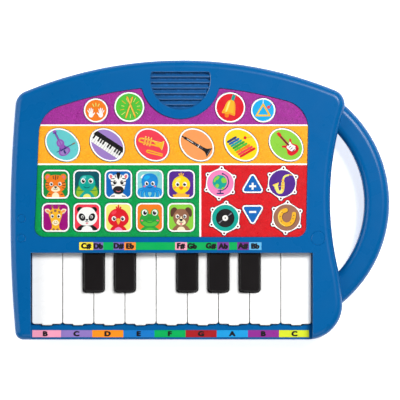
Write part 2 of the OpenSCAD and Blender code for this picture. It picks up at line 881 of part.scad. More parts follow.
// The front of a key, with two round corners of radius r.
function key_front(x, y0, y1, r) =
    concat(
        [[x[0], y1]],
        [for (i = [0 : 4]) polar([x[0] + r, y0 + r], r, 180 + 22.5 * i)],
        [for (i = [0 : 4]) polar([x[1] - r, y0 + r], r, 270 + 22.5 * i)],
        [[x[1], y1]]
    );

// The tail of a key, which turns on the rod and rests on the bed's rear bar.
module key_tail(x) {
    block(inside(x, tail_inset), [tail_y, key_end_y], [tail_z, white_z]);
    bar(inside(x, tail_inset), pivot, hub_r);
}

module key_bore(x) {
    bar(inside(x, -1), pivot, key_bore_r);
}

module plunger(x, y, z) {
    post([x, y], plunger_r, key_dome_z + plunger_gap, z);
}

module white_key(i) {
    head = [joint_x(i) + key_gap / 2, joint_x(i + 1) - key_gap / 2];
    neck = neck_x(i);
    notch_y = black_front_y - 0.8;
    middle = white_middle(i);
    ceiling_z = white_z - 1.8;
    color("white")
        difference() {
            union() {
                difference() {
                    union() {
                        prism(key_front(head, white_front_y, notch_y, white_front_r), skirt_z, white_z);
                        block(neck, [notch_y - SLIP, tail_y], [skirt_z, white_z]);
                        block(
                            [middle - tongue[0], middle + tongue[0]],
                            [white_front_y - tongue[1], white_front_y + 2],
                            [white_z - 3, white_z]
                        );
                    }
                    block(inside(head, skin), [white_front_y + skin, notch_y - skin], [0, ceiling_z]);
                    block(inside(neck, skin), [notch_y - skin - SLIP, tail_y - skin], [0, ceiling_z]);
                }
                key_tail(neck);
                plunger(middle, white_dome_y, white_z - 1);
            }
            key_bore(neck);
        }
}

module black_key(k) {
    middle = joint_x(BLACK_AT[k]);
    x = [middle - black_w / 2, middle + black_w / 2];
    color("black")
        difference() {
            union() {
                difference() {
                    prism(key_front(x, black_front_y, tail_y, black_front_r), skirt_z, black_z);
                    block(inside(x, skin), [black_front_y + skin, tail_y - skin], [0, black_z - 2]);
                }
                key_tail(x);
                plunger(middle, black_dome_y, black_z - 1);
            }
            key_bore(x);
        }
}

// Plates that hold the rod where two white keys meet with no black key between, and at both ends.
module rod_holders() {
    ends = [joint_x(0) - 1.4, joint_x(9) + 1.4];
    for (x = concat(ends, [joint_x(1), joint_x(4), joint_x(8)]))
        block([x - 0.9, x + 0.9], [tail_y + holder_gap, -27], [key_board_z - SLIP, pivot[1] + hub_r]);
}

module key_bed() {
    x = [joint_x(0) - bed_margin, joint_x(9) + bed_margin];
    low_z = key_board_z - bed_t;
    color("gray")
        difference() {
            union() {
                block(x, [-95, -26], [low_z, key_board_z]);
                block(x, [-28.4, -26], [low_z, tail_z - 0.2]);
                for (i = [0 : 8])
                    block([white_middle(i) - 9.6, white_middle(i) + 9.6], [-93.4, -91.4], [low_z, guide_z]);
                for (k = BLACK_AT) block([joint_x(k) - 6, joint_x(k) + 6], [-43, -41.4], [low_z, guide_z]);
                rod_holders();
            }
            switch_space([6, 4], [0, 9]);
            bar([joint_x(0) - 5, joint_x(9) + 5], pivot, rod_r + 0.02);
        }
}

module key_pivot_rod() {
    color("silver") bar([joint_x(0) - bed_margin, joint_x(9) + bed_margin], pivot, rod_r);
}

// ---- Buttons ----

module button(b) {
    translate([b[2].x, b[2].y, 0])
        color("white") {
            difference() {
                button_prism(b, 0, flange_z - SLIP, top_z);
                if (b[1] == "drum") post([0, 0], drum_well_r, well_z, top_z + 1);
                else button_prism(b, -rim_w, well_z, top_z + 1);
            }
            if (b[1] == "drum") post([0, 0], drum_flange_r, flange_z - flange_t, flange_z);
            else button_prism(b, 1, flange_z - flange_t, flange_z);
            post([0, 0], stem_r, main_dome_z + plunger_gap, flange_z - 1);
        }
}

front_casing();
rear_casing();
color("royalblue") handle_shell(1);  // handle_front_shell
color("royalblue") handle_shell(-1);  // handle_rear_shell
artwork_panel();
note_label_strips();
button_circuit_board();
button_contact_mat();
key_bed();
key_pivot_rod();
key_circuit_board();
key_contact_mat();
speaker_driver();
battery_cells();
battery_contacts();
battery_door();
battery_door_screw();
power_switch_knob();
casing_screws();
rubber_feet();
for (i = [0 : 8])
    white_key(i);
for (k = [0 : 4])
    black_key(k);
for (b = BUTTONS)
    button(b);
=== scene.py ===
"""The looks of the toy electronic keyboard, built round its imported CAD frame.

Lengths below are in millimetres in the frame's own axes: +X to the player's right, +Y away from the
player, +Z up out of the button face. Meshes are scaled to metres as they are made.
"""

from math import atan2, cos, degrees, hypot, pi, radians, sin, sqrt

import bmesh
import bpy
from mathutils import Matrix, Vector

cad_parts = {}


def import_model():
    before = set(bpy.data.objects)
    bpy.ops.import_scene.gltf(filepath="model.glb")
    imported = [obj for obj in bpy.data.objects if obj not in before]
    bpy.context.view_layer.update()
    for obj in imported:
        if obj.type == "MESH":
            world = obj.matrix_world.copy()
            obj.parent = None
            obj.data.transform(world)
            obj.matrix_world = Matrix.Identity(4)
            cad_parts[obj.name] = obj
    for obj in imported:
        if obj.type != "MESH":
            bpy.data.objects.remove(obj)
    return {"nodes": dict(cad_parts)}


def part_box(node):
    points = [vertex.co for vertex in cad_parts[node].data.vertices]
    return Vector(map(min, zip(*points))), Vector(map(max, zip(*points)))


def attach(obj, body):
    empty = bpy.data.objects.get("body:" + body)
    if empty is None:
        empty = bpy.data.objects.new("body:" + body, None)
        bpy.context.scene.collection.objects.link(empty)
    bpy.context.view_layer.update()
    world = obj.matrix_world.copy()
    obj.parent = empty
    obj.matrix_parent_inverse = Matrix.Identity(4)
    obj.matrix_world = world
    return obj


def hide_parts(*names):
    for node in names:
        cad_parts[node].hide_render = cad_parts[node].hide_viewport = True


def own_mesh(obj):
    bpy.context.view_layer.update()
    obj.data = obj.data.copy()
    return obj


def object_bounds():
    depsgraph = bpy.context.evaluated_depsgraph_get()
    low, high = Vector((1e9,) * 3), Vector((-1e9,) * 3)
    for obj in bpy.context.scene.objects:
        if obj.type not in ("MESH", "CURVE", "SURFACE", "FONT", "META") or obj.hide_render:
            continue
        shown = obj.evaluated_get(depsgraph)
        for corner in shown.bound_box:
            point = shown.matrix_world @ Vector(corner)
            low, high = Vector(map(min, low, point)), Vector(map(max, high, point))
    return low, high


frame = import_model()
cad_box = [list(corner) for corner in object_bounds()]

MM = 0.001
WHITE_NAMES = ["b3", "c4", "d4", "e4", "f4", "g4", "a4", "b4", "c5"]
# Each black key stands over the joint before the white key of this index.
BLACK_AT = {"cs4": 2, "ds4": 3, "fs4": 5, "gs4": 6, "as4": 7}


def spot(node):
    """Lowest and highest corner of a CAD node, in millimetres."""
    low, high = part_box(node)
    return low / MM, high / MM


def centre(node):
    low, high = spot(node)
    return ((low.x + high.x) / 2, (low.y + high.y) / 2)


def heights(node):
    return tuple(corner.z for corner in spot(node))


def span(middle, half):
    return (middle - half, middle + half)


# ---- Heights and outlines that the CAD part fixes ----

LOW, HIGH = (Vector(corner) / MM for corner in cad_box)
PARTING, TOP = heights("front_casing")
FOOT = heights("rubber_feet")[1]
FRONT, REAR = LOW.y, HIGH.y
WALL = 2.2
EDGE = 5.8
DECK, PANEL_TOP = heights("artwork_panel")
DECK_UNDER = DECK - 2.0
ROOF = TOP - WALL
LABEL_DEPTH = 0.2
RAIL_TOP = heights("note_label_strips")[0] + LABEL_DEPTH
RAIL_Y = -96.0
WINDOW_Y = -40.8
KEY_PITCH = 24.0
KEYS_X = spot("white_key_b3")[0].x - 0.25
WINDOW_X = (KEYS_X - 0.4, KEYS_X + len(WHITE_NAMES) * KEY_PITCH + 0.4)
# Half the width and the depth of the tongue at a white key's front, and of the rail's tooth beside it.
TONGUE = (4.2, 1.0)
TOOTH = (1.3, 1.4)


def joint_x(i):
    """Where the joint before white key i is. Half values of i give the middle of a key."""
    return KEYS_X + KEY_PITCH * i


def polar(c, r, angle):
    a = radians(angle)
    return (c[0] + r * cos(a), c[1] + r * sin(a))


def arc(c, r, start, end, steps):
    """Points along an arc, without its last one."""
    return [polar(c, r, start + (end - start) * i / steps) for i in range(steps)]


def bearing(a, b):
    return degrees(atan2(b[1] - a[1], b[0] - a[0]))


def positive(angle):
    return angle + 360 if angle < 0 else angle


def meet(c1, d1, c2, d2, side):
    """The point d1 from c1 and d2 from c2, left (side 1) or right (side -1) of the line c1 to c2."""
    dx, dy = c2[0] - c1[0], c2[1] - c1[1]
    gap = hypot(dx, dy)
    ux, uy = dx / gap, dy / gap
    along = (d1 * d1 - d2 * d2 + gap * gap) / (2 * gap)
    off = side * sqrt(d1 * d1 - along * along)
    return (c1[0] + along * ux - off * uy, c1[1] + along * uy + off * ux)


def on_line(normal, q, c, r, side):
    """The point r from c on the line with that normal and distance q."""
    d = q - c[0] * normal[0] - c[1] * normal[1]
    off = side * sqrt(r * r - d * d)
    return (c[0] + d * normal[0] - off * normal[1], c[1] + d * normal[1] + off * normal[0])


CROWN_R, LEFT_R, WAIST_R, FLANK_R = 315, 1000, 235, 180
CORNER_R, FRONT_LEFT_R, FRONT_RIGHT_R = 12, 6.5, 27
CROWN_C = (-14.2, REAR - CROWN_R)
LEFT_C = (LEFT_R + LOW.x, -15.4)
WAIST_C = (100.3 + WAIST_R, 0)
FRONT_RIGHT_C = (109.6 - FRONT_RIGHT_R, FRONT + FRONT_RIGHT_R)
FLANK_C = meet(FRONT_RIGHT_C, FLANK_R - FRONT_RIGHT_R, WAIST_C, WAIST_R + FLANK_R, 1)
REAR_RIGHT_C = meet(CROWN_C, CROWN_R - CORNER_R, WAIST_C, WAIST_R + CORNER_R, 1)
REAR_LEFT_C = meet(CROWN_C, CROWN_R - CORNER_R, LEFT_C, LEFT_R - CORNER_R, 1)
FRONT_LEFT_Y = FRONT + FRONT_LEFT_R
FRONT_LEFT_X = LEFT_C[0] - sqrt((LEFT_R - FRONT_LEFT_R) ** 2 - (FRONT_LEFT_Y - LEFT_C[1]) ** 2)
FRONT_LEFT_C = (FRONT_LEFT_X, FRONT_LEFT_Y)


def casing_outline(inset=0.0):
    """The casing seen from above, moved inwards by inset: a chain of tangent arcs."""
    left = positive(bearing(LEFT_C, FRONT_LEFT_C))
    flank = bearing(FLANK_C, FRONT_RIGHT_C)
    waist = bearing(FLANK_C, WAIST_C)
    right = bearing(CROWN_C, REAR_RIGHT_C)
    rear = bearing(CROWN_C, REAR_LEFT_C)
    return (
        arc(LEFT_C, LEFT_R - inset, bearing(LEFT_C, REAR_LEFT_C), left, 30)
        + arc(FRONT_LEFT_C, FRONT_LEFT_R - inset, left, 270, 16)
        + [polar(FRONT_LEFT_C, FRONT_LEFT_R - inset, 270)]
        + arc(FRONT_RIGHT_C, FRONT_RIGHT_R - inset, -90, flank, 36)
        + arc(FLANK_C, FLANK_R - inset, flank, waist, 10)
        + arc(WAIST_C, WAIST_R + inset, positive(waist + 180), bearing(WAIST_C, REAR_RIGHT_C), 44)
        + arc(REAR_RIGHT_C, CORNER_R - inset, bearing(REAR_RIGHT_C, WAIST_C), right, 18)
        + arc(CROWN_C, CROWN_R - inset, right, rear, 64)
        + arc(REAR_LEFT_C, CORNER_R - inset, rear, bearing(LEFT_C, REAR_LEFT_C), 18)
    )


PANEL_R = CROWN_R - 20
PANEL_LEFT_TURN, PANEL_RIGHT_TURN = 177.43, -1.2
PANEL_LEFT = (polar((0, 0), 1, PANEL_LEFT_TURN), 126.3)
PANEL_RIGHT = (polar((0, 0), 1, PANEL_RIGHT_TURN), 82.1)
PANEL_Y = -28.6
PANEL_UPPER_R, PANEL_LOWER_R, CUSP_R = 22, 7.5, 1.6
NOTCH_C, NOTCH_R = (-15.1, 92.8), 30.4


def panel_outline(inset=0.0):
    """The sunken picture panel seen from above, moved inwards by inset."""
    top_r, bite_r = PANEL_R - inset, NOTCH_R + inset
    upper_r, lower_r = PANEL_UPPER_R - inset, PANEL_LOWER_R - inset
    corner_y = PANEL_Y + PANEL_LOWER_R
    corners = []
    for (nx, ny), q in (PANEL_RIGHT, PANEL_LEFT):
        corners.append(((q - PANEL_LOWER_R - ny * corner_y) / nx, corner_y))
    low_right, low_left = corners
    reach = PANEL_R - PANEL_UPPER_R
    up_right = on_line(PANEL_RIGHT[0], PANEL_RIGHT[1] - PANEL_UPPER_R, CROWN_C, reach, 1)
    up_left = on_line(PANEL_LEFT[0], PANEL_LEFT[1] - PANEL_UPPER_R, CROWN_C, reach, -1)
    cusp_right = meet(CROWN_C, top_r - CUSP_R, NOTCH_C, bite_r + CUSP_R, -1)
    cusp_left = meet(CROWN_C, top_r - CUSP_R, NOTCH_C, bite_r + CUSP_R, 1)
    right_a, left_a = PANEL_RIGHT_TURN, PANEL_LEFT_TURN
    return (
        arc(low_right, lower_r, -90, right_a, 12)
        + [polar(low_right, lower_r, right_a)]
        + arc(up_right, upper_r, right_a, bearing(CROWN_C, up_right), 22)
        + arc(CROWN_C, top_r, bearing(CROWN_C, up_right), bearing(CROWN_C, cusp_right), 12)
        + arc(cusp_right, CUSP_R, bearing(CROWN_C, cusp_right), positive(bearing(cusp_right, NOTCH_C)), 8)
        + arc(NOTCH_C, bite_r, bearing(NOTCH_C, cusp_right), bearing(NOTCH_C, cusp_left), 44)
        + arc(cusp_left, CUSP_R, bearing(cusp_left, NOTCH_C), bearing(CROWN_C, cusp_left), 8)
        + arc(CROWN_C, top_r, bearing(CROWN_C, cusp_left), bearing(CROWN_C, up_left), 12)
        + arc(up_left, upper_r, bearing(CROWN_C, up_left), left_a, 22)
        + [polar(up_left, upper_r, left_a)]
        + arc(low_left, lower_r, left_a, 270, 12)
        + [polar(low_left, lower_r, 270)]
    )


def rounded(corners, inset=0.0, steps=6):
    """A polygon of (x, y, radius) corners, listed anticlockwise, moved inwards by inset."""
    points = []
    count = len(corners)
    for i, (x, y, r) in enumerate(corners):
        ax, ay, _ = corners[i - 1]
        bx, by, _ = corners[(i + 1) % count]
        before = Vector((x - ax, y - ay)).normalized()
        after = Vector((bx - x, by - y)).normalized()
        turn = before.x * after.y - before.y * after.x
        n1, n2 = Vector((-before.y, before.x)), Vector((-after.y, after.x))
        mitre = (n1 + n2) / (1 + n1.dot(n2))
        bend = 1 if turn > 0 else -1
        radius = max(r - bend * inset, 0.05)
        corner = Vector((x, y)) + mitre * inset
        c = corner + mitre * radius * bend
        start = degrees(atan2(-n1.y * bend, -n1.x * bend))
        end = degrees(atan2(-n2.y * bend, -n2.x * bend))
        sweep = (end - start + 180) % 360 - 180
        points += [polar(c, radius, start + sweep * k / steps) for k in range(steps + 1)]
    return points


def box_corners(x, y, r):
    return [(x[0], y[0], r), (x[1], y[0], r), (x[1], y[1], r), (x[0], y[1], r)]


# ---- Mesh tools ----


def new_object(name, mesh):
    obj = bpy.data.objects.new(name, mesh)
    bpy.context.scene.collection.objects.link(obj)
    return obj


def make(name, points, faces):
    """A mesh object from points in millimetres, with its faces turned outwards."""
    mesh = bpy.data.meshes.new(name)
    mesh.from_pydata([Vector(p) * MM for p in points], [], faces)
    bm = bmesh.new()
    bm.from_mesh(mesh)
    bmesh.ops.recalc_face_normals(bm, faces=bm.faces)
    bm.to_mesh(mesh)
    bm.free()
    return new_object(name, mesh)


def rings_solid(name, rings):
    """A closed solid through rings of equally many points."""
    count = len(rings[0])
    points = [p for ring in rings for p in ring]
    faces = [list(range(count)), [len(points) - 1 - i for i in range(count)]]
    for k in range(len(rings) - 1):
        for i in range(count):
            j = (i + 1) % count
            a, b = k * count, (k + 1) * count
            faces.append((a + i, a + j, b + j, b + i))
    return make(name, points, faces)


def loft(name, outline, levels):
    """A closed solid whose outline is inset by levels[i][0] at the height levels[i][1]."""
    return rings_solid(name, [[(x, y, z) for x, y in outline(inset)] for inset, z in levels])


def slab(name, points, z0, z1):
    return rings_solid(name, [[(x, y, z) for x, y in points] for z in (z0, z1)])


def bar(x0, x1, y0, y1):
    return [(x0, y0), (x1, y0), (x1, y1), (x0, y1)]


def block(name, x, y, z):
    return slab(name, bar(*x, *y), *z)


def rounded_box(name, x, y, r, levels):
    return loft(name, lambda inset: rounded(box_corners(x, y, r), inset), levels)


def lathe(name, at, levels, steps=40):
    """A closed solid turned about the upright line at, through levels of (radius, z)."""
    return rings_solid(name, [[(x, y, z) for x, y in arc(at, r, 0, 360, steps)] for r, z in levels])


def post(name, at, r, z0, z1, steps=40):
    return lathe(name, at, [(r, z0), (r, z1)], steps)


def along_x(name, profile, x):
    """A solid with a (y, z) profile, between two values of x."""
    return rings_solid(name, [[(v, y, z) for y, z in profile] for v in x])


def over(face_z, r, up, first=0.0, steps=8):
    """Levels of an edge rounded to radius r, ending on the flat at face_z."""
    turns = [90 * k / steps for k in range(steps + 1)]
    levels = [(first + r * (1 - cos(radians(t))), face_z - up * r * (1 - sin(radians(t)))) for t in turns]
    return levels if up > 0 else levels[::-1]


def flare(z, r, steps=4):
    """Levels of a cutter that leaves the edge of its hole rounded to radius r at the height z."""
    turns = [80 * k / steps for k in range(steps + 1)]
    curve = [(-r * (1 - cos(radians(t))), z - r * (1 - sin(radians(t)))) for t in turns]
    return curve + [(curve[-1][0] - 0.3 * r, z + 0.2)]


def joined(name, parts):
    """One object from several."""
    bm = bmesh.new()
    slots = []
    for part in parts:
        offset = {}
        for i, material in enumerate(part.data.materials):
            if material not in slots:
                slots.append(material)
            offset[i] = slots.index(material)
        first = len(bm.faces)
        bm.from_mesh(part.data)
        bm.faces.ensure_lookup_table()
        for face in bm.faces[first:]:
            face.material_index = offset.get(face.material_index, 0)
        bpy.data.objects.remove(part)
    mesh = bpy.data.meshes.new(name)
    bm.to_mesh(mesh)
    bm.free()
    for material in slots:
        mesh.materials.append(material)
    return new_object(name, mesh)


def apply_modifiers(obj):
    graph = bpy.context.evaluated_depsgraph_get()
    made = obj.evaluated_get(graph)
    mesh = bpy.data.meshes.new_from_object(made, preserve_all_data_layers=True, depsgraph=graph)
    obj.modifiers.clear()
    obj.data = mesh


def combine(obj, tools, operation):
    """Applies an exact boolean with each tool, and deletes the tools."""
    for tool in tools:
        modifier = obj.modifiers.new("combine", "BOOLEAN")
        modifier.operation = operation
        modifier.solver = "EXACT"
        modifier.object = tool
        apply_modifiers(obj)
        bpy.data.objects.remove(tool)
    return obj


def cut(obj, *tools):
    return combine(obj, tools, "DIFFERENCE")


def add(obj, *tools):
    return combine(obj, tools, "UNION")


def keep(obj, *tools):
    return combine(obj, tools, "INTERSECT")


SMOOTH_BELOW = 38


def smooth(obj):
    """Smooth shading between faces that meet at a slight angle, weighted by their area."""
    mesh = obj.data
    mesh.polygons.foreach_set("use_smooth", [True] * len(mesh.polygons))
    mesh.set_sharp_from_angle(angle=radians(SMOOTH_BELOW))
    modifier = obj.modifiers.new("weights", "WEIGHTED_NORMAL")
    modifier.keep_sharp = True
    apply_modifiers(obj)
    return obj


def paint(obj, *materials):
    obj.data.materials.clear()
    for material in materials:
        obj.data.materials.append(material)
    return obj


def settle(obj, body, slot, *nodes):
    """Makes obj a piece of the object that rides on body and stands for nodes."""
    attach(obj, body)
    if nodes:
        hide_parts(*nodes)
    return obj


# ---- Materials ----


def shade(r, g, b):
    """Linear colour of an 8-bit sRGB one."""
    values = [v / 255 for v in (r, g, b)]
    return tuple(v / 12.92 if v <= 0.04045 else ((v + 0.055) / 1.055) ** 2.4 for v in values) + (1.0,)


def scaled(colour, factor):
    return tuple(min(v * factor, 1.0) for v in colour[:3]) + (1.0,)


def map_range(nodes, link, value, low, high, to_low, to_high):
    """Maps value from low..high to to_low..to_high, and holds it there beyond them."""
    node = nodes.new("ShaderNodeMapRange")
    ends = {"From Min": low, "From Max": high, "To Min": to_low, "To Max": to_high}
    for socket, number in ends.items():
        node.inputs[socket].default_value = number
    link(value, node.inputs["Value"])
    return node.outputs["Result"]


class Recipe:
    """A node material whose texture coordinates are the object's own."""

    def __init__(self, name, roughness, metallic=0.0, specular=0.5):
        self.material = bpy.data.materials.new(name)
        self.material.use_nodes = True
        self.nodes = self.material.node_tree.nodes
        self.link = self.material.node_tree.links.new
        self.shader = self.nodes["Principled BSDF"]
        self.shader.inputs["Roughness"].default_value = roughness
        self.shader.inputs["Metallic"].default_value = metallic
        self.shader.inputs["Specular IOR Level"].default_value = specular
        self.place = self.nodes.new("ShaderNodeTexCoord").outputs["Object"]

    def noise(self, feature, detail=3.0, distortion=0.0):
        """Noise whose blobs are about feature millimetres wide."""
        node = self.nodes.new("ShaderNodeTexNoise")
        node.inputs["Scale"].default_value = 1 / (feature * MM)
        node.inputs["Detail"].default_value = detail
        node.inputs["Distortion"].default_value = distortion
        self.link(self.place, node.inputs["Vector"])
        return node.outputs["Fac"]

    def cells(self, feature):
        """The distance from the middle of cells about feature millimetres wide."""
        node = self.nodes.new("ShaderNodeTexVoronoi")
        node.inputs["Scale"].default_value = 1 / (feature * MM)
        self.link(self.place, node.inputs["Vector"])
        return node.outputs["Distance"]

    def fit(self, value, *ends):
        return map_range(self.nodes, self.link, value, *ends)

    def spread(self, feature, detail=3.0, distortion=0.0):
        """The same noise with its middle range stretched over 0 to 1."""
        return self.fit(self.noise(feature, detail, distortion), 0.3, 0.7, 0, 1)

    def mix(self, fac, a, b):
        node = self.nodes.new("ShaderNodeMix")
        node.data_type = "RGBA"
        self.link(fac, node.inputs["Factor"])
        for socket, colour in (("A", a), ("B", b)):
            target = [s for s in node.inputs if s.name == socket and s.type == "RGBA"][0]
            if isinstance(colour, tuple):
                target.default_value = colour
            else:
                self.link(colour, target)
        return [s for s in node.outputs if s.type == "RGBA"][0]

    def colour(self, value):
        self.link(value, self.shader.inputs["Base Color"])

    def roughness(self, value, low, high):
        self.link(self.fit(value, 0.3, 0.7, low, high), self.shader.inputs["Roughness"])

    def bump(self, height, depth):
        """Bump whose full swing is depth millimetres."""
        node = self.nodes.new("ShaderNodeBump")
        node.inputs["Distance"].default_value = depth * MM
        self.link(height, node.inputs["Height"])
        self.link(node.outputs["Normal"], self.shader.inputs["Normal"])


def moulded(name, colour, roughness=0.36, grain=0.012, drift=0.05, specular=0.4):
    """Injection-moulded plastic: satin skin, faint flow marks and a fine spark-eroded grain."""
    recipe = Recipe(name, roughness, specular=specular)
    flow = recipe.spread(60, 2, 0.6)
    recipe.colour(recipe.mix(flow, scaled(colour, 1 - drift), scaled(colour, 1 + drift)))
    recipe.roughness(recipe.noise(14, 2), roughness - 0.02, roughness + 0.03)
    recipe.bump(recipe.noise(0.35, 2), grain)
    return recipe.material


def printed(name, colour, fleck=0.0, drift=0.03, roughness=0.32):
    """Glossy print on a plastic sheet. fleck is the strength of a tone-on-tone confetti pattern."""
    recipe = Recipe(name, roughness, specular=0.35)
    soft = recipe.spread(9, 4)
    base = recipe.mix(soft, scaled(colour, 1 - drift), scaled(colour, 1 + drift))
    if fleck:
        speck = recipe.fit(recipe.noise(1.7, 2, 2.2), 0.54, 0.6, 0, fleck)
        glow = recipe.fit(recipe.noise(2.3, 2, 2.8), 0.56, 0.62, 0, fleck)
        base = recipe.mix(speck, base, scaled(colour, 0.5))
        base = recipe.mix(glow, base, scaled(colour, 1.7))
    recipe.colour(base)
    recipe.roughness(recipe.noise(4, 4), roughness - 0.05, roughness + 0.06)
    recipe.bump(recipe.noise(0.5, 2), 0.004)
    return recipe.material


def metal(name, colour, roughness=0.3):
    """Plated metal with faint darker patches."""
    recipe = Recipe(name, roughness, metallic=1.0)
    worn = recipe.fit(recipe.noise(3, 5), 0.35, 0.7, 0, 1)
    recipe.colour(recipe.mix(worn, colour, scaled(colour, 0.8)))
    recipe.roughness(recipe.noise(1.2, 4), roughness - 0.08, roughness + 0.12)
    recipe.bump(recipe.noise(0.25, 2), 0.006)
    return recipe.material


def rubber(name, colour, roughness=0.75, dusty=1.7):
    """Matt rubber or cloth. Its dusty patches are dusty times as bright as the rest."""
    recipe = Recipe(name, roughness, specular=0.3)
    dust = recipe.fit(recipe.noise(3, 5), 0.45, 0.75, 0, 1)
    recipe.colour(recipe.mix(dust, colour, scaled(colour, dusty)))
    recipe.roughness(recipe.noise(2, 4), roughness - 0.08, roughness + 0.1)
    recipe.bump(recipe.noise(0.3, 3), 0.03)
    return recipe.material


def solder_mask(name):
    """Green circuit board with lighter copper areas under the mask."""
    recipe = Recipe(name, 0.35)
    area = recipe.fit(recipe.cells(7), 0.35, 0.4, 0, 1)
    recipe.colour(recipe.mix(area, shade(24, 92, 52), shade(12, 62, 36)))
    recipe.roughness(recipe.noise(3), 0.3, 0.45)
    recipe.bump(area, 0.02)
    return recipe.material


# The grille's ribs catch more light than the rest of the casing in the photo, so they are glossier, and
# their base colour is a darker, greyer copy of the casing blue: painted light and shade on the ribs and
# slots.
CASING = moulded("casing_blue_abs", shade(0, 90, 152), 0.28, 0.006, drift=0.03, specular=0.2)
RIB_BLUE_PAINTED_SHADE = moulded("grille_blue_painted_shade_abs", shade(14, 84, 142), 0.24, 0.004, drift=0.03, specular=0.9)
HANDLE = moulded("handle_blue_abs", shade(0, 88, 149), 0.28, 0.006, drift=0.03, specular=0.22)
KEY_WHITE = moulded("key_white_abs", shade(248, 248, 247), 0.28, grain=0.003, drift=0.006)
KEY_BLACK = moulded("key_black_abs", shade(21, 18, 19), 0.36, grain=0.004, drift=0.1, specular=0.15)
CAP_WHITE = moulded("cap_white_abs", shade(248, 248, 246), 0.3, grain=0.003, drift=0.01)
KNOB_BLACK = moulded("knob_black_abs", shade(28, 28, 30), 0.45, grain=0.02, drift=0.12)
STEEL = metal("plated_steel", shade(176, 178, 182))
NICKEL = metal("nickel_spring", shade(196, 192, 180), 0.24)
RUBBER = rubber("foot_rubber", shade(44, 44, 47))
SILICONE = rubber("silicone_mat", shade(206, 206, 200), 0.55, 1.1)
BOARD = solder_mask("solder_mask")
BED = moulded("key_bed_abs", shade(118, 120, 124), 0.5, grain=0.02)
CLOTH = rubber("speaker_cloth", shade(18, 84, 144), 0.8)
SPEAKER = rubber("speaker_cone", shade(48, 48, 52), 0.7, 1.3)
CELL = printed("cell_wrap", shade(196, 120, 36), drift=0.08)

# ---- Casing ----

CASING_SCREWS = [
    (-136.4, -94), (-137, -45), (-137, 8), (-131, 62), (-78, 90.5), (50, 90.5), (91.2, 8), (95, -33),
]
HANDLE_OUTER, GRIP_W = 100, 19.5
HANDLE_C = (HIGH.x - HANDLE_OUTER, -2.4)
HANDLE_INNER = HANDLE_OUTER - GRIP_W
HANDLE_MID = (HANDLE_INNER + HANDLE_OUTER) / 2
ROOT_SCREWS = [polar(HANDLE_C, HANDLE_MID, side * 55) for side in (-1, 1)]
GRILLE_R, GRILLE_TOP, GRILLE_Z = 22.9, 98.4, 33.0
SLOT_PITCH, SLOT_H, SLOTS = 4.3, 1.9, 7
SPEAKER_C = centre("speaker_driver")
SHARPS_X, SHARPS_Y = (-93.0, 47.4), (-38.5, -32.4)
NATURALS_X, NATURALS_Y = (-129.3, 84.2), (-105.8, -100.2)


def grille_outline(inset=0.0):
    """The round grille with its flat top."""
    r = GRILLE_R - inset
    top = GRILLE_TOP - NOTCH_C[1] - inset
    corner = 1.2
    side = sqrt((r - corner) ** 2 - (top - corner) ** 2)
    c = (NOTCH_C[0] + side, NOTCH_C[1] + top - corner)
    d = (NOTCH_C[0] - side, c[1])
    a = bearing(NOTCH_C, c)
    return (
        arc(c, corner, a, 90, 6)
        + [polar(c, corner, 90)]
        + arc(d, corner, 90, 180 - a, 6)
        + arc(NOTCH_C, r, 180 - a, 360 + a, 80)
    )


def slot_profile(y):
    """A grille slot's (y, z) section, flared so that the ribs between slots come out round."""
    half, wide = SLOT_H / 2, SLOT_PITCH / 2
    r = wide - half
    turns = [radians(t) for t in range(0, 81, 16)]
    right = [(y + half + r * (1 - cos(t)), GRILLE_Z - r * (1 - sin(t))) for t in turns]
    right.append((right[-1][0], GRILLE_Z + 1))
    left = [(2 * y - v, z) for v, z in reversed(right)]
    return [(y - half, ROOF - 3), (y + half, ROOF - 3)] + right + left


def front_cavity():
    """The space inside the front casing: it leaves the walls that hang round the key window."""
    left, right = WINDOW_X
    walls = block("walls", (left - 2, right + 2), (FRONT - 1, WINDOW_Y), (PARTING - 2, TOP))
    levels = [(WALL, PARTING - 1), (WALL, TOP - 5.5), (WALL + 1.3, DECK_UNDER)]
    cavity = cut(loft("front_cavity", casing_outline, levels), walls)
    pocket_y, pocket_z = (WINDOW_Y - 1, PANEL_Y - 3), (DECK_UNDER - 2, ROOF)
    pocket = block("pocket", (left - 1, right + 1), pocket_y, pocket_z)
    return [cavity, pocket, post("speaker_pocket", SPEAKER_C, 20.5, DECK_UNDER - 1, ROOF, 64)]


def window_outline():
    """The keys' window. Its front edge follows the white keys, with a tooth between every two of them."""
    points = [(WINDOW_X[1], RAIL_Y + TOOTH[1]), (WINDOW_X[1], WINDOW_Y), (WINDOW_X[0], WINDOW_Y)]
    for i in range(len(WHITE_NAMES)):
        left, right = joint_x(i), joint_x(i + 1)
        middle, reach = (left + right) / 2, TONGUE[0] + 0.6
        points += [(left if i else WINDOW_X[0], RAIL_Y + TOOTH[1]), (left + TOOTH[0], RAIL_Y)]
        points += [(middle - reach, RAIL_Y), (middle - reach, RAIL_Y - TONGUE[1])]
        points += [(middle + reach, RAIL_Y - TONGUE[1]), (middle + reach, RAIL_Y)]
        points.append((right - TOOTH[0], RAIL_Y))
    return points


def rail_cutter():
    """Clears the keys' window down to the front rail, and rounds the rail's front edge."""
    r = 2.0
    turns = [radians(t) for t in range(0, 91, 15)]
    front = [(FRONT + r * (1 - sin(t)), RAIL_TOP - r * (1 - cos(t))) for t in turns]
    profile = [(WINDOW_Y, TOP + 3), (WINDOW_Y, RAIL_TOP)] + front
    profile += [(FRONT - 5, RAIL_TOP - r), (FRONT - 5, TOP + 3)]
    return along_x("rail_cutter", profile, WINDOW_X)


RING_MARKS = [((-137.6, -14.4), 3.1), ((-137.6, -29.6), 3.1), ((90.8, -29.6), 5.4)]


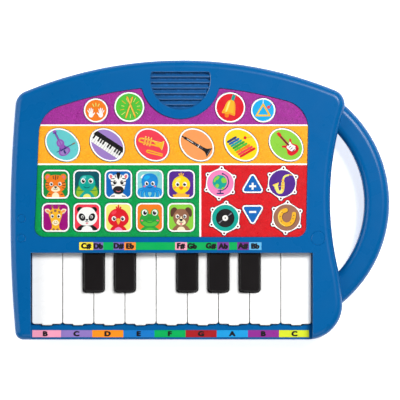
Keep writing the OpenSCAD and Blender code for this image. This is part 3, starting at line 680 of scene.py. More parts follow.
def moulding_rings():
    """Cutters for the shallow ring marks over the corner bosses."""
    rings = []
    for at, r in RING_MARKS:
        outer = [(r, TOP - 0.4), (r + 0.5, TOP + 0.01), (r + 0.5, TOP + 1)]
        inner = [(r - 0.08, TOP - 1), (r - 0.08, TOP - 0.4), (r - 0.6, TOP + 0.01), (r - 0.6, TOP + 2)]
        rings.append(cut(lathe("mark", at, outer, 48), lathe("core", at, inner, 48)))
    return rings


def label_recess(x, y, z):
    return block("label_recess", x, y, (z - LABEL_DEPTH, z + 1))


def polish_and_shade_ribs(shell):
    """Gives the faces in the grille's recess the second material: a glossier blue whose darker, greyer base
    colour is painted light and shade on the ribs.
    """
    edge = 0.7
    for face in shell.data.polygons:
        x, y, z = face.center / MM
        in_round = hypot(x - NOTCH_C[0], y - NOTCH_C[1]) < GRILLE_R + edge
        if in_round and y < GRILLE_TOP + edge and ROOF < z < TOP - 0.01:
            face.material_index = 1


def front_casing():
    levels = [(0.35, PARTING), (0, PARTING + 0.35), *over(TOP, EDGE, 1, steps=12)]
    shell = loft("casing_front", casing_outline, levels)
    cut(shell, *front_cavity())
    cut(shell, rail_cutter())
    edge = [(0, RAIL_TOP + 2), *flare(TOP, 0.7)]
    cut(shell, rounded_box("window_edge", WINDOW_X, (FRONT - 12, WINDOW_Y), 0.6, edge))
    cut(shell, slab("window", window_outline(), PARTING - 1, TOP - 3))
    cut(shell, loft("panel_recess", panel_outline, [(0, DECK), *flare(TOP, 0.6)]))
    holes = [button_hole(b, HOLE_GAP, DECK_UNDER - 1, DECK + 1) for b in BUTTONS]
    cut(shell, joined("button_holes", holes))
    cut(shell, loft("grille_recess", grille_outline, [(0, GRILLE_Z), *flare(TOP, 0.6)]))
    slot_ys = [GRILLE_TOP - SLOT_H / 2 - SLOT_PITCH * i for i in range(SLOTS)]
    slots = [along_x("slot", slot_profile(y), span(NOTCH_C[0], NOTCH_R)) for y in slot_ys]
    grille = loft("slot_area", grille_outline, [(0.25, ROOF - 4), (0.25, TOP + 2)])
    cut(shell, keep(joined("slots", slots), grille))
    cut(shell, label_recess(SHARPS_X, SHARPS_Y, TOP), label_recess(NATURALS_X, NATURALS_Y, RAIL_TOP))
    cut(shell, *moulding_rings())
    # The second material is painted light and shade: a darker, greyer copy of the casing blue for the
    # grille's ribs.
    smooth(paint(shell, CASING, RIB_BLUE_PAINTED_SHADE))
    polish_and_shade_ribs(shell)
    return settle(shell, "casing", "casing_blue", "front_casing")


def grille_cloth():
    """The dust cloth between the grille and the speaker."""
    levels = [(-1.2, DECK_UNDER - 0.18), (-1.2, DECK_UNDER - 0.02)]
    sheet = loft("grille_cloth", grille_outline, levels)
    return settle(paint(sheet, CLOTH), "casing", "speaker_metal")


BOX_X, BOX_Y, BOX_Z, BOX_WALL = (-48.5, 14.5), (2.5, 49.5), 19.4, 1.7
DOOR_T, DOOR_SCREW, DOOR_GAP = 1.8, (-17, 53), 0.4
# Where the door's pins are in Y and Z.
HINGE, PIN_R, PIN_HOLE_R, KNUCKLE_R = (4.2, 2.6), 0.75, 0.81, 1.1
# Half the width of the tab round the door's screw, its reach past the screw, and the wall round it.
TAB_HALF_W, TAB_REACH, TAB_WALL = 6, 4.2, 2
SWITCH_C, SWITCH_TRAVEL = (68, -52), 4
# Half the sizes in X and Y of the switch knob's pad and lever.
PAD, LEVER = (4, 3.2), (1.5, 1)
SEAT, ROOT_SEAT, HEAD_R, SHANK_R, PILOT_R = 10, 8, 3.1, 1.7, 1.45
TOWER_R, TOWER_FOOT, TENON_HALF_W, TENON_TURN = 4.1, FOOT + 1.9, 4.2, (44, 58)


def screw_hole(at, mouth_z, chamfer, seat):
    """A counterbore from below with a chamfered mouth, and the shank's hole above its seat."""
    wide = HEAD_R + chamfer
    levels = [(wide, mouth_z - 0.5), (wide, mouth_z), (HEAD_R, mouth_z + chamfer), (HEAD_R, seat)]
    levels += [(SHANK_R, seat), (SHANK_R, PARTING + 1)]
    return lathe("screw_hole", at, levels)


def handle_ring(name, profile, start, end, steps):
    """A stretch of a ring about the handle's centre with an (r, z) profile."""
    rings = []
    for i in range(steps + 1):
        a = start + (end - start) * i / steps
        rings.append([(*polar(HANDLE_C, r, a), z) for r, z in profile])
    return rings_solid(name, rings)


def tenon(side, z, slack=0.0):
    """The tongue at the handle's root, side 1 at the rear and -1 at the front."""
    r0, r1 = HANDLE_MID - TENON_HALF_W - slack, HANDLE_MID + TENON_HALF_W + slack
    profile = [(r0, z[0]), (r1, z[0]), (r1, z[1]), (r0, z[1])]
    return handle_ring("tenon", profile, side * TENON_TURN[0], side * (TENON_TURN[1] + slack), 8)


def rear_casing():
    levels = [*over(FOOT, EDGE, -1, steps=12), (0, PARTING - 0.35), (0.35, PARTING)]
    shell = loft("casing_rear", casing_outline, levels)
    inside = FOOT + WALL
    levels = [(WALL + 2.3, inside), (WALL, FOOT + 5), (WALL, PARTING + 1)]
    cut(shell, loft("rear_cavity", casing_outline, levels))
    box_x, box_y = [(low - BOX_WALL, high + BOX_WALL) for low, high in (BOX_X, BOX_Y)]
    box = block("box", box_x, box_y, (FOOT + 0.5, BOX_Z + BOX_WALL))
    x, y = DOOR_SCREW
    roof_z, recess_z = (FOOT + 0.5, FOOT + DOOR_T + 2), (FOOT - 1, FOOT + DOOR_T + 0.3)
    roof_y, recess_y = y + TAB_REACH + TAB_WALL, y + TAB_REACH + DOOR_GAP
    tab_roof = block("tab_roof", span(x, TAB_HALF_W + TAB_WALL), (BOX_Y[1], roof_y), roof_z)
    add(shell, box, tab_roof, post("boss", DOOR_SCREW, 3.6, FOOT + 0.5, 12))
    towers = [post("tower", s, TOWER_R, TOWER_FOOT, PARTING - 0.1) for s in CASING_SCREWS]
    towers += [post("tower", s, TOWER_R, TOWER_FOOT, PARTING - 5.4) for s in ROOT_SCREWS]
    add(shell, joined("towers", towers))
    cut(shell, block("cells_space", BOX_X, BOX_Y, (FOOT - 1, BOX_Z)))
    cut(shell, block("tab_recess", span(x, TAB_HALF_W + DOOR_GAP), (BOX_Y[1] - 1, recess_y), recess_z))
    cut(shell, post("door_screw_hole", DOOR_SCREW, 1.9, FOOT, 11))
    rim = [(-0.5, FOOT - 1), (-0.5, FOOT), (0, FOOT + 0.5), (0, FOOT + 1)]
    cut(shell, rounded_box("door_rim", BOX_X, BOX_Y, 0.8, rim))
    pin_hole = arc(HINGE, PIN_HOLE_R, 0, 360, 24)
    cut(shell, along_x("pin_holes", pin_hole, (BOX_X[0] - 1.6, BOX_X[1] + 1.6)))
    x, y = SWITCH_C
    far = x + SWITCH_TRAVEL
    pocket = [(-0.6, FOOT - 0.5), (-0.6, FOOT), (0, FOOT + 0.6), (0, FOOT + 1.2)]
    pocket_x, slot_x = PAD[0] + 2, LEVER[0] + 0.3
    cut(shell, rounded_box("pocket", (x - pocket_x, far + pocket_x), span(y, PAD[1] + 0.8), 1.5, pocket))
    slot_z = (FOOT, inside + 1)
    cut(shell, block("lever_slot", (x - slot_x, far + slot_x), span(y, LEVER[1] + 0.4), slot_z))
    holes = [screw_hole(s, FOOT, 0.5, SEAT) for s in CASING_SCREWS]
    holes += [screw_hole(s, FOOT, 0.5, ROOT_SEAT) for s in ROOT_SCREWS]
    cut(shell, joined("screw_holes", holes))
    cut(shell, *[tenon(side, (PARTING - 5.3, PARTING + 1), 0.3) for side in (-1, 1)])
    smooth(paint(shell, CASING))
    return settle(shell, "casing", "casing_blue", "rear_casing")


# ---- Handle ----

GRIP_SCREWS = [polar(HANDLE_C, HANDLE_MID, side * 25) for side in (-1, 1)]
GRIP_HALF_T, GRIP_ROUND, GRIP_TURN, HOLLOW_TURN = 9.5, 6.0, 58, 40


def grip_profile(side, inset=0.0, past=0.0, steps=10):
    """Half of the grip's (r, z) section, from past the parting plane outwards."""
    r = GRIP_ROUND - inset
    inner, outer = HANDLE_INNER + GRIP_ROUND, HANDLE_OUTER - GRIP_ROUND
    far = PARTING + side * (GRIP_HALF_T - GRIP_ROUND)
    turns = [radians(90 * k / steps) for k in range(steps + 1)]
    lip = 0.3 if inset == 0 else 0.05
    start = PARTING - side * past
    return (
        [(HANDLE_INNER + inset + lip, start), (HANDLE_INNER + inset, start + side * lip)]
        + [(inner - r * cos(t), far + side * r * sin(t)) for t in turns]
        + [(outer + r * cos(t), far + side * r * sin(t)) for t in reversed(turns)]
        + [(HANDLE_OUTER - inset, start + side * lip), (HANDLE_OUTER - inset - lip, start)]
    )


def handle_shell(name, side, node):
    """One half of the handle, side 1 above the parting plane and -1 below it."""
    shell = handle_ring(name, grip_profile(side), -GRIP_TURN, GRIP_TURN, 120)
    hollow = handle_ring("hollow", grip_profile(side, 2, 1), -HOLLOW_TURN, HOLLOW_TURN, 80)
    posts = [post("post", s, 4, *span(PARTING, GRIP_HALF_T + 1)) for s in GRIP_SCREWS]
    cut(shell, cut(hollow, joined("posts", posts)))
    cut(shell, loft("casing_space", casing_outline, [(0, -2), (0, TOP + 2)]))
    z = (PARTING + 0.1, PARTING + 5) if side > 0 else (PARTING - 5, PARTING - 0.1)
    add(shell, joined("tenons", [tenon(s, z) for s in (-1, 1)]))
    holes = [post("root_hole", s, SHANK_R, *span(PARTING, 6)) for s in ROOT_SCREWS]
    if side > 0:
        holes += [post("pilot", s, PILOT_R, PARTING - 1, PARTING + 7.5) for s in GRIP_SCREWS]
    else:
        low = PARTING - GRIP_HALF_T
        holes += [screw_hole(s, low, 0.4, PARTING - 6) for s in GRIP_SCREWS]
    cut(shell, joined("holes", holes))
    smooth(paint(shell, HANDLE))
    return settle(shell, "casing", "casing_blue", node)


# ---- Buttons ----

OVAL_TURN, TILE_R = -40, 4.4
DRUM_R, LUG_AT, LUG_R = 12.6, 11.7, 1.75
WEDGE_AT, WEDGE_R = 6.4, 2.4


def oval_outline(size):
    c, s = cos(radians(OVAL_TURN)), sin(radians(OVAL_TURN))
    points = [(size[0] * cos(radians(a)), size[1] * sin(radians(a))) for a in range(0, 360, 5)]
    return [(x * c - y * s, x * s + y * c) for x, y in points]


def drum_outline(turn, grow):
    """A hexagon with a round lug at each corner."""
    points = []
    for a in range(0, 360, 3):
        corner = (a + 30) % 60 - 30
        flat = a % 60 - 30
        reach = (DRUM_R + grow) * cos(radians(30)) / cos(radians(flat))
        side, r = LUG_AT * sin(radians(corner)), LUG_R + grow
        if abs(side) < r:
            reach = max(reach, LUG_AT * cos(radians(corner)) + sqrt(r * r - side * side))
        points.append(polar((0, 0), reach, a + turn))
    return points


def wedge_outline(turn, grow):
    """A triangle with round corners, pointing in the direction turn."""
    points = []
    for corner in range(3):
        at = turn + 120 * corner
        c = polar((0, 0), WEDGE_AT, at)
        points += [polar(c, WEDGE_R + grow, at - 60 + 10 * i) for i in range(13)]
    return points


class Button:
    """A button's form, and its size: radii, sides, or the direction in which it is turned."""

    def __init__(self, name, form, size, at=None):
        self.name, self.form, self.size = name, form, size
        self.node = "button_" + name
        self.at = at or centre(self.node)

    def outline(self, grow=0.0):
        if self.form == "oval":
            return oval_outline([r + grow for r in self.size])
        if self.form == "tile":
            x, y = self.size[0] / 2, self.size[1] / 2
            return rounded(box_corners((-x, x), (-y, y), TILE_R), -grow, 8)
        if self.form == "drum":
            return drum_outline(self.size, grow)
        if self.form == "wedge":
            return wedge_outline(self.size, grow)
        return arc((0, 0), self.size + grow, 0, 360, 72)

    def ring(self, grow, z):
        return [(self.at[0] + x, self.at[1] + y, z) for x, y in self.outline(grow)]

    def round_ring(self, r, z):
        """A circle with a point in the direction of each of the outline's points."""
        ring = []
        for x, y in self.outline():
            size = hypot(x, y)
            ring.append((self.at[0] + r * x / size, self.at[1] + r * y / size, z))
        return ring


ROUND = [("clap", 9.3), ("sticks", 11.5), ("bell", 11.6), ("triangle", 9.4)]
OVALS = ["violin", "piano", "trumpet", "clarinet", "xylophone", "guitar"]
TILES = ["tiger", "turtle", "zebra", "octopus", "chick", "giraffe", "panda", "robin", "frog", "puppy"]
DRUMS = [("globe", 85), ("saxophone", 85), ("record", 86), ("horseshoe", 86)]
WEDGES = [("volume_up", 90, (40.5, 11.0)), ("volume_down", -90, (40.5, -9.6))]
BUTTONS = [Button(name, "round", r) for name, r in ROUND]
BUTTONS += [Button(name, "oval", (14.6, 11.5)) for name in OVALS]
BUTTONS += [Button(name, "tile", (21.1, 22.2)) for name in TILES]
BUTTONS += [Button(name, "drum", turn) for name, turn in DRUMS]
BUTTONS += [Button(name, "wedge", turn, at) for name, turn, at in WEDGES]

RIM_W, WELL, FLANGE_UNDER, FLANGE_TOP = 1.1, TOP - 0.4, DECK_UNDER - 1.5, DECK_UNDER - 0.3
FLANGE_W, CAP_ROUND, STEM_R, STEM_END = 0.95, 0.35, 2.5, 27.4
DRUM_WELL_R, DRUM_PICTURE_R = (10.45, 10.25, 10.2), 10.15
# The gap round a button in the casing, and in the printed panel on it.
HOLE_GAP, PRINT_GAP = 0.35, 0.45


def button_hole(button, gap, z0, z1):
    return rings_solid("hole", [button.ring(gap, z0), button.ring(gap, z1)])


def cap(button):
    """A button's moulded cap: stem, flange, crown and the shallow well that holds its picture."""
    face = TOP - 0.02
    well_z = (face, TOP - 0.1, WELL)
    rings = [button.round_ring(STEM_R, z) for z in (STEM_END, FLANGE_UNDER)]
    flange = 0.0 if button.form == "drum" else FLANGE_W
    rings += [button.ring(flange, z) for z in (FLANGE_UNDER, FLANGE_TOP)]
    rings.append(button.ring(0, FLANGE_TOP))
    for turn in (0, 22, 45, 68, 90):
        t = radians(turn)
        rings.append(button.ring(-CAP_ROUND * (1 - cos(t)), face - CAP_ROUND * (1 - sin(t))))
    if button.form == "drum":
        rings += [button.round_ring(r, z) for r, z in zip(DRUM_WELL_R, well_z)]
    else:
        inner = RIM_W - 0.25
        rings += [button.ring(-r, z) for r, z in zip((inner, inner + 0.18, RIM_W), well_z)]
    return rings_solid("cap", rings)


# ---- Pictures ----
# A picture is a list of (ink, outline) pairs, laid one over the other. Outlines are in millimetres
# from the middle of the button. All the pictures are plain, generic drawings.

INKS = {
    "white": (252, 252, 248), "black": (24, 22, 26), "grey": (128, 130, 140), "cream": (255, 240, 200),
    "orange": (246, 128, 30), "amber": (252, 184, 70), "yellow": (255, 222, 20), "lemon": (244, 238, 120),
    "gold": (250, 186, 40), "peach": (251, 160, 92), "red": (226, 24, 40), "coral": (244, 62, 82),
    "pink": (248, 138, 192), "rose": (240, 118, 130), "magenta": (160, 8, 122), "purple": (86, 40, 146),
    "violet": (160, 128, 200), "plum": (150, 90, 184), "navy": (28, 50, 112), "blue": (8, 104, 188),
    "sky": (20, 176, 236), "aqua": (104, 206, 208), "ice": (132, 210, 208), "azure": (22, 138, 216),
    "teal": (6, 168, 152), "deep_teal": (2, 84, 98), "grass": (14, 140, 62), "green": (40, 166, 62),
    "leaf": (84, 196, 60), "lime": (144, 212, 66), "olive": (150, 190, 40), "brown": (150, 102, 76),
    "dark_brown": (94, 60, 44), "tan": (206, 160, 120), "clay": (162, 112, 88), "graphite": (36, 34, 38),
    "maroon": (104, 24, 40),
}
PRINT_TONE = 0.82
inks = {}


def ink(name):
    """The print in one of the INKS, made when it is first needed."""
    if name not in inks:
        inks[name] = printed("ink_" + name, scaled(shade(*INKS[name]), PRINT_TONE))
    return inks[name]


def oval(x, y, rx, ry=None, turn=0, count=32):
    ry = ry or rx
    c, s = cos(radians(turn)), sin(radians(turn))
    ring = [(rx * cos(2 * pi * i / count), ry * sin(2 * pi * i / count)) for i in range(count)]
    return [(x + u * c - v * s, y + u * s + v * c) for u, v in ring]


def curve_through(points, closed, steps=6):
    """A Catmull-Rom curve through the points."""
    count = len(points)
    spans = count if closed else count - 1
    path = []
    for i in range(spans):
        ids = [(i + k) % count if closed else min(max(i + k, 0), count - 1) for k in (-1, 0, 1, 2)]
        p0, p1, p2, p3 = [Vector(points[k]) for k in ids]
        for step in range(steps):
            t = step / steps
            path.append(0.5 * (2 * p1 + (p2 - p0) * t + (2 * p0 - 5 * p1 + 4 * p2 - p3) * t ** 2
                               + (3 * p1 - p0 - 3 * p2 + p3) * t ** 3))
    return path if closed else path + [Vector(points[-1])]


def patch(*points):
    return [tuple(p) for p in curve_through(points, True)]


def even(*half):
    """A patch through half the points of an outline, from or to its middle line, and their images."""
    return patch(*half, *[(-x, y) for x, y in reversed(half) if x])


def line(width, *points):
    """A stroke with round ends."""
    path = curve_through(points, False) if len(points) > 2 else [Vector(p) for p in points]
    sides = [[], []]
    for i, p in enumerate(path):
        run = path[min(i + 1, len(path) - 1)] - path[max(i - 1, 0)]
        off = Vector((-run.y, run.x)).normalized() * width / 2
        sides[0].append(tuple(p + off))
        sides[1].append(tuple(p - off))
    ends = []
    for p, q in ((path[0], path[1]), (path[-1], path[-2])):
        out = degrees(atan2(p.y - q.y, p.x - q.x))
        ends.append([polar(p, width / 2, out - 60 + 30 * k) for k in range(5)])
    return sides[1] + ends[1] + sides[0][::-1] + ends[0]


def turned(outline, angle, x=0.0, y=0.0, stretch=1.0):
    """An outline made wider by stretch, then turned and moved."""
    c, s = cos(radians(angle)), sin(radians(angle))
    outline = [(u * stretch, v) for u, v in outline]
    return [(x + u * c - v * s, y + u * s + v * c) for u, v in outline]


def all_turned(parts, *placing):
    return [(name, turned(outline, *placing)) for name, outline in parts]


def both(name, outline):
    """An outline and its mirror image."""
    return [(name, outline), (name, [(-x, y) for x, y in outline[::-1]])]


def stripes(name, width, *strokes):
    """Each stroke and its mirror image."""
    return [layer for stroke in strokes for layer in both(name, line(width, *stroke))]


def eyes(x, y, r):
    return [
        *both("white", oval(x, y, r, r * 1.1)),
        *both("black", oval(x - 0.12 * r, y - 0.08 * r, r * 0.66, r * 0.74)),
        ("white", oval(x + 0.12 * r, y + 0.34 * r, r * 0.24)),
        ("white", oval(-x + 0.36 * r, y + 0.34 * r, r * 0.24)),
    ]


def smile(x, y, w, colour="black", thick=0.34):
    return (colour, line(thick, (x - w, y + 0.4 * w), (x, y), (x + w, y + 0.4 * w)))


def muzzle(y, w):
    """A mouth of two small curves side by side."""
    return [smile(-w, y, w), smile(w, y, w)]


def clap():
    fingers = [
        ((4.6, -2.6), (6.2, -0.1)), ((4.1, -2.0), (5.0, 1.3)),
        ((3.5, -1.9), (3.6, 1.6)), ((2.9, -2.2), (2.3, 0.9)),
    ]
    marks = [((0, 3.4), (0, 5.6)), ((1.5, 3.1), (2.6, 5.0)), ((-1.5, 3.1), (-2.6, 5.0))]
    return "orange", [
        *both("white", oval(3.7, -3.4, 1.8, 2.0)),
        *stripes("white", 0.78, *fingers),
        *stripes("white", 0.85, ((2.6, -3.9), (1.1, -2.0))),
        *[("lemon", line(0.6, *mark)) for mark in marks],
    ]


def sticks():
    picture = []
    rays, middle = 14, (1.0, -0.6)
    for k in range(rays):
        a = 360 / rays * k + 12
        ray = line(0.42, polar(middle, 5.2, a), polar(middle, 7.2 + k % 3 * 0.7, a))
        picture.append(("gold" if k % 2 else "lemon", ray))
    for start, end in (((-2.6, -8.0), (2.4, 7.4)), ((4.4, -7.0), (-1.6, 7.6))):
        shine = [(x * 0.8, y * 0.8) for x, y in (start, end)]
        picture.append(("brown", line(1.5, start, end)))
        picture.append(("gold", line(1.15, start, end)))
        picture.append(("lemon", line(0.3, *shine)))
    return "leaf", picture


def bell():
    body = patch(
        (0.8, 5.9), (2.9, 4.8), (3.9, 1.8), (3.9, -2.4), (3.4, -6.3), (0.8, -5.5),
        (-2.0, -4.9), (-4.2, -4.5), (-6.4, -3.9), (-4.7, -0.6), (-3.2, 2.8), (-1.6, 5.0),
    )
    return "red", [
        ("teal", [(2.0, 9.9), (4.3, 9.2), (2.7, 4.6), (0.3, 5.0)]),
        ("deep_teal", line(0.3, (3.2, 9.6), (1.6, 5.0))),
        ("orange", oval(-2.6, -6.0, 1.7)),
        ("gold", body),
        ("lemon", patch((-1.2, 4.2), (0.2, 4.7), (-0.8, 1.4), (-2.2, -2.4), (-3.6, -3.2), (-2.6, 0.8))),
        ("orange", line(0.5, (-5.6, -3.2), (-1.4, -4.2), (3.4, -5.4))),
        ("orange", line(0.35, (3.2, 3.2), (3.2, -0.6), (2.9, -4.4))),
    ]


def triangle():
    corners = [(0, 4.6), (-5.2, -4.0), (5.2, -4.0)]
    edges = [line(1.35, corners[i], corners[(i + 1) % 3]) for i in range(3)]
    shine = [line(0.35, (-0.2, 4.2), (-4.7, -3.4)), line(0.35, (-4.4, -3.8), (4.2, -3.8))]
    return "sky", [
        ("white", line(0.45, (0, 9), (0, 4.6))),
        *[("gold", edge) for edge in edges],
        *[("lemon", edge) for edge in shine],
        ("magenta", line(0.7, (4.0, 2.2), (6.6, 4.8))),
        ("coral", oval(4.2, 2.4, 1.2)),
    ]


def violin():
    body = patch(
        (-2.6, 0), (-2.0, 2.6), (0, 3.8), (2.0, 2.6), (2.6, 0), (2.0, -1.9), (2.8, -3.6), (4.1, -6.0),
        (3.2, -8.6), (0, -9.8), (-3.2, -8.6), (-4.1, -6.0), (-2.8, -3.6), (-2.0, -1.9),
    )
    parts = [
        ("purple", line(1.3, (0, 3), (0, 10.0))),
        ("plum", oval(0, 10.6, 1.2, 1.5)),
        ("purple", line(0.5, (-1.5, 9.6), (1.5, 9.6))),
        ("plum", body),
        ("violet", patch((-2.9, -6), (-2.2, -8.2), (0, -8.9), (2.2, -8.2), (2.9, -6), (0, -4.2))),
        ("violet", patch((-1.6, 0.6), (0, 2.9), (1.6, 0.6), (0, -1.2))),
        ("purple", line(0.4, (-1.9, -2.8), (-1.5, -4.0), (-1.9, -5.2))),
        ("purple", line(0.4, (1.9, -2.8), (1.5, -4.0), (1.9, -5.2))),
        ("navy", bar(-0.6, 0.6, -8.4, -5.6)),
        ("plum", bar(-0.35, 0.35, -2.0, 8.5)),
        ("navy", line(0.5, (-1.5, -5.0), (1.5, -5.0))),
    ]
    bow = [("navy", line(0.45, (-4.2, -5.6), (9.4, 1.4))), ("brown", line(0.8, (7.6, 0.5), (9.6, 1.5)))]
    return "aqua", all_turned(parts, 27, -1.4, 0.8, 1.14) + bow


def piano():
    white_w = 2.15
    parts = [
        ("black", bar(-15, 15, 1.3, 4.9)),
        ("white", bar(-15, 15, -4.6, 1.3)),
        ("graphite", bar(-15, 15, 4.2, 4.4)),
    ]
    for k in range(-6, 8):
        x = white_w * (k - 0.5)
        parts.append(("grey", bar(*span(x, 0.1), -4.6, 1.3)))
        if k % 7 not in (0, 3):
            parts.append(("black", bar(*span(x, 0.62), -1.7, 1.3)))
    return "violet", all_turned(parts, -33)


def trumpet():
    bell_mouth = patch(
        (1.0, 2.4), (4.4, 2.8), (7.2, 4.3), (8.3, 5.0), (8.6, 1.6), (8.3, -2.0), (7.2, -1.2), (4.4, 0.3),
    )
    parts = [
        ("orange", line(1.1, (3.0, -4.6), (-1.4, -4.6), (-2.6, -5.5), (-1.4, -6.4), (9.6, -6.4))),
        ("gold", line(0.8, (9.6, -5.0), (-1.2, -4.8), (-2.4, -5.5), (-1.2, -6.3), (9.6, -6.2))),
        ("gold", line(1.2, (6.0, 0.2), (-8.4, 0.2), (-10.2, 1.6), (-8.4, 3.0), (3.0, 3.0))),
        ("gold", line(1.0, (2.4, 3.0), (4.2, 1.6), (2.4, 0.2))),
        ("gold", bell_mouth),
        ("lemon", line(0.5, (8.35, 4.8), (8.5, 1.6), (8.35, -1.8))),
        ("lemon", line(0.35, (-8.2, 3.2), (2.2, 3.2), (6.6, 3.6))),
    ]
    for x in (-6.0, -3.8, -1.6):
        parts.append(("amber", line(1.5, (x, -0.9), (x, 4.0))))
        parts.append(("coral", line(0.3, (x - 0.45, -0.4), (x - 0.45, 3.4))))
        parts.append(("lemon", line(0.9, (x, 4.9), (x, 5.0))))
    return "coral", all_turned(parts, -14)


def clarinet():
    flare_half = [(5.6, -1.0), (8.4, -1.6), (10.8, -3.4), (11.5, -3.4)]
    parts = [
        ("black", bar(-14, -9.6, -0.55, 0.55)),
        ("black", bar(-11, -4.2, -0.95, 0.95)),
        ("black", bar(-4.0, 1.6, -1.05, 1.05)),
        ("black", bar(2.1, 6.6, -1.15, 1.15)),
        ("black", patch(*flare_half, *[(x, -y) for x, y in reversed(flare_half)])),
        ("white", bar(1.55, 2.15, -1.3, 1.3)),
        ("grey", bar(10.6, 10.9, -3.2, 3.2)),
        ("graphite", bar(-10.6, 8.4, 0.35, 0.6)),
    ]
    for k in range(6):
        parts.append(("white", oval(-8.4 + 0.95 * k, 0.1, 0.34)))
    for x in (-2.6, -1.0, 0.6, 3.4, 4.8):
        parts.append(("grey", oval(x, 0.1, 0.4)))
    return "peach", all_turned(parts, -31)


def xylophone():
    bars = ["navy", "blue", "teal", "green", "leaf", "orange", "coral", "red"]
    rails = [((-8.8, 2.9), (3.2, -7.6)), ((-5.4, 4.8), (8.0, -3.8))]
    picture = [("brown", line(0.6, *rail)) for rail in rails]
    for k, colour in enumerate(bars):
        t = k / (len(bars) - 1)
        left, right = (-10.2 + 9.9 * t, 2.3 - 11.0 * t), (-4.4 + 14.4 * t, 5.8 - 8.6 * t)
        picture.append((colour, line(1.75, left, right)))
    picture.append(("amber", line(0.45, (3.2, 5.6), (9.8, 6.4))))
    picture.append(("red", oval(2.9, 5.5, 1.1)))
    return "yellow", picture


def guitar():
    body = patch(
        (-2.7, 0.6), (-4.0, 2.4), (-3.3, 3.4), (-1.0, 1.4), (1.0, 1.4), (3.1, 3.6), (4.0, 2.6), (2.7, 0.4),
        (3.0, -1.4), (4.2, -4.0), (3.4, -7.0), (0.4, -8.2), (-3.0, -7.2), (-4.2, -4.4), (-3.0, -1.6),
    )
    plate = patch(
        (-1.8, 0.4), (0, 1.0), (2.2, 1.8), (2.0, -0.6),
        (2.8, -3.6), (1.4, -5.6), (-0.8, -5.0), (-1.8, -2.2),
    )
    parts = [
        ("red", body),
        ("white", plate),
        ("coral", bar(-0.8, 0.8, 0.6, 10.0)),
        ("dark_brown", bar(-0.55, 0.55, 0.2, 10.0)),
        ("red", [(-0.7, 9.6), (0.7, 9.6), (1.3, 11.0), (0.9, 13.2), (-0.6, 13.4), (-0.9, 11.4)]),
        *[("grey", bar(-0.9, 0.9, *y)) for y in ((-1.5, -0.9), (-3.3, -2.7))],
        ("graphite", bar(-1.1, 1.1, -5.4, -4.8)),
    ]
    for k in range(3):
        parts.append(("graphite", oval(2.1 + 0.3 * k, -4.6 - 0.9 * k, 0.3, count=12)))
    return "lime", all_turned(parts, 42, 2.2, -0.6, 1.18)


def tiger():
    brow = [((1.9, 6.3), (1.5, 4.2)), ((7.1, 1.4), (5.3, 0.9)), ((7.4, -1.0), (5.6, -1.0))]
    return "grass", [
        ("orange", even((-6.2, -11), (-5.2, -6.2), (0, -4))),
        ("cream", oval(0, -9.8, 2.9, 3.6)),
        *both("dark_brown", line(0.6, (5.6, -7.6), (4.0, -7.9))),
        *both("orange", oval(5.9, 5.4, 2.4, 2.6)),
        *both("rose", oval(5.9, 5.3, 1.3, 1.5)),
        ("orange", even((0, 7.2), (4.6, 6.2), (7.2, 2.0), (7.6, -2.2), (4.6, -5.4), (0, -6.2))),
        ("cream", even((0, -1.0), (2.6, -2.6), (3.3, -4.6), (0, -5.9))),
        ("dark_brown", line(0.75, (0, 6.6), (0, 3.6))),
        *stripes("dark_brown", 0.65, *brow),
        *stripes("dark_brown", 0.6, ((6.9, -3.1), (5.4, -2.6))),
        *eyes(3.3, 0.2, 1.35),
        ("black", patch((-1.2, -1.8), (0, -1.6), (1.2, -1.8), (0, -3.1))),
        *muzzle(-3.9, 0.75),
    ]


def turtle():
    return "deep_teal", [
        ("grass", oval(0, -6.4, 9.2, 8.4)),
        ("olive", oval(0, -6.4, 8.2, 7.4)),
        *[("grass", line(0.55, (0, -5), polar((0, -6.4), 8.0, a))) for a in (14, 42, 138, 166)],
        ("teal", even((-5.2, -11), (-4.6, -7.8), (0, -4.4))),
        ("lemon", even((-2.9, -11), (-2.4, -8.4), (0, -7.4))),
        ("teal", even((0, 7.0), (4.2, 6.2), (6.2, 2.2), (6.2, -1.0), (3.6, -4.4), (0, -5.2))),
        ("aqua", oval(-2.4, 5.0, 1.9, 1.0, 24)),
        *eyes(3.0, 2.6, 1.8),
        *both("deep_teal", oval(0.8, -0.6, 0.28, count=12)),
        smile(0, -2.8, 2.4, "deep_teal", 0.42),
    ]


def zebra():
    cheek = [((5.3, 4.2), (3.2, 4.4)), ((5.7, 2.2), (4.6, 2.1)), ((5.0, -0.6), (3.4, -0.8))]
    return "blue", [
        ("white", even((-6.0, -11), (-4.8, -7.8), (0, -6))),
        *both("graphite", line(0.8, (5.2, -9.2), (3.0, -9.0))),
        *both("white", oval(5.6, 5.8, 1.9, 2.5, -28)),
        *both("rose", oval(5.6, 5.8, 1.1, 1.7, -28)),
        ("white", even((0, 7.6), (3.9, 6.6), (5.8, 2.6), (5.0, -1.6), (3.9, -4.6), (0, -6.6))),
        ("black", patch((-1.5, 8.6), (0, 9.3), (1.5, 8.6), (0.9, 5.0), (0, 3.8), (-0.9, 5.0))),
        *stripes("black", 0.7, *cheek),
        *stripes("black", 0.6, ((2.6, 6.8), (1.9, 5.4))),
        ("graphite", even((0, -1.4), (2.8, -2.0), (4.2, -4.2), (2.8, -6.8), (0, -7.6))),
        *both("black", oval(1.4, -3.2, 0.5, 0.36)),
        smile(0, -5.8, 1.7, "rose", 0.45),
        *both("black", oval(2.7, 1.4, 1.25, 1.55)),
        ("white", oval(2.9, 2.0, 0.42)),
        ("white", oval(-2.4, 2.0, 0.42)),
    ]


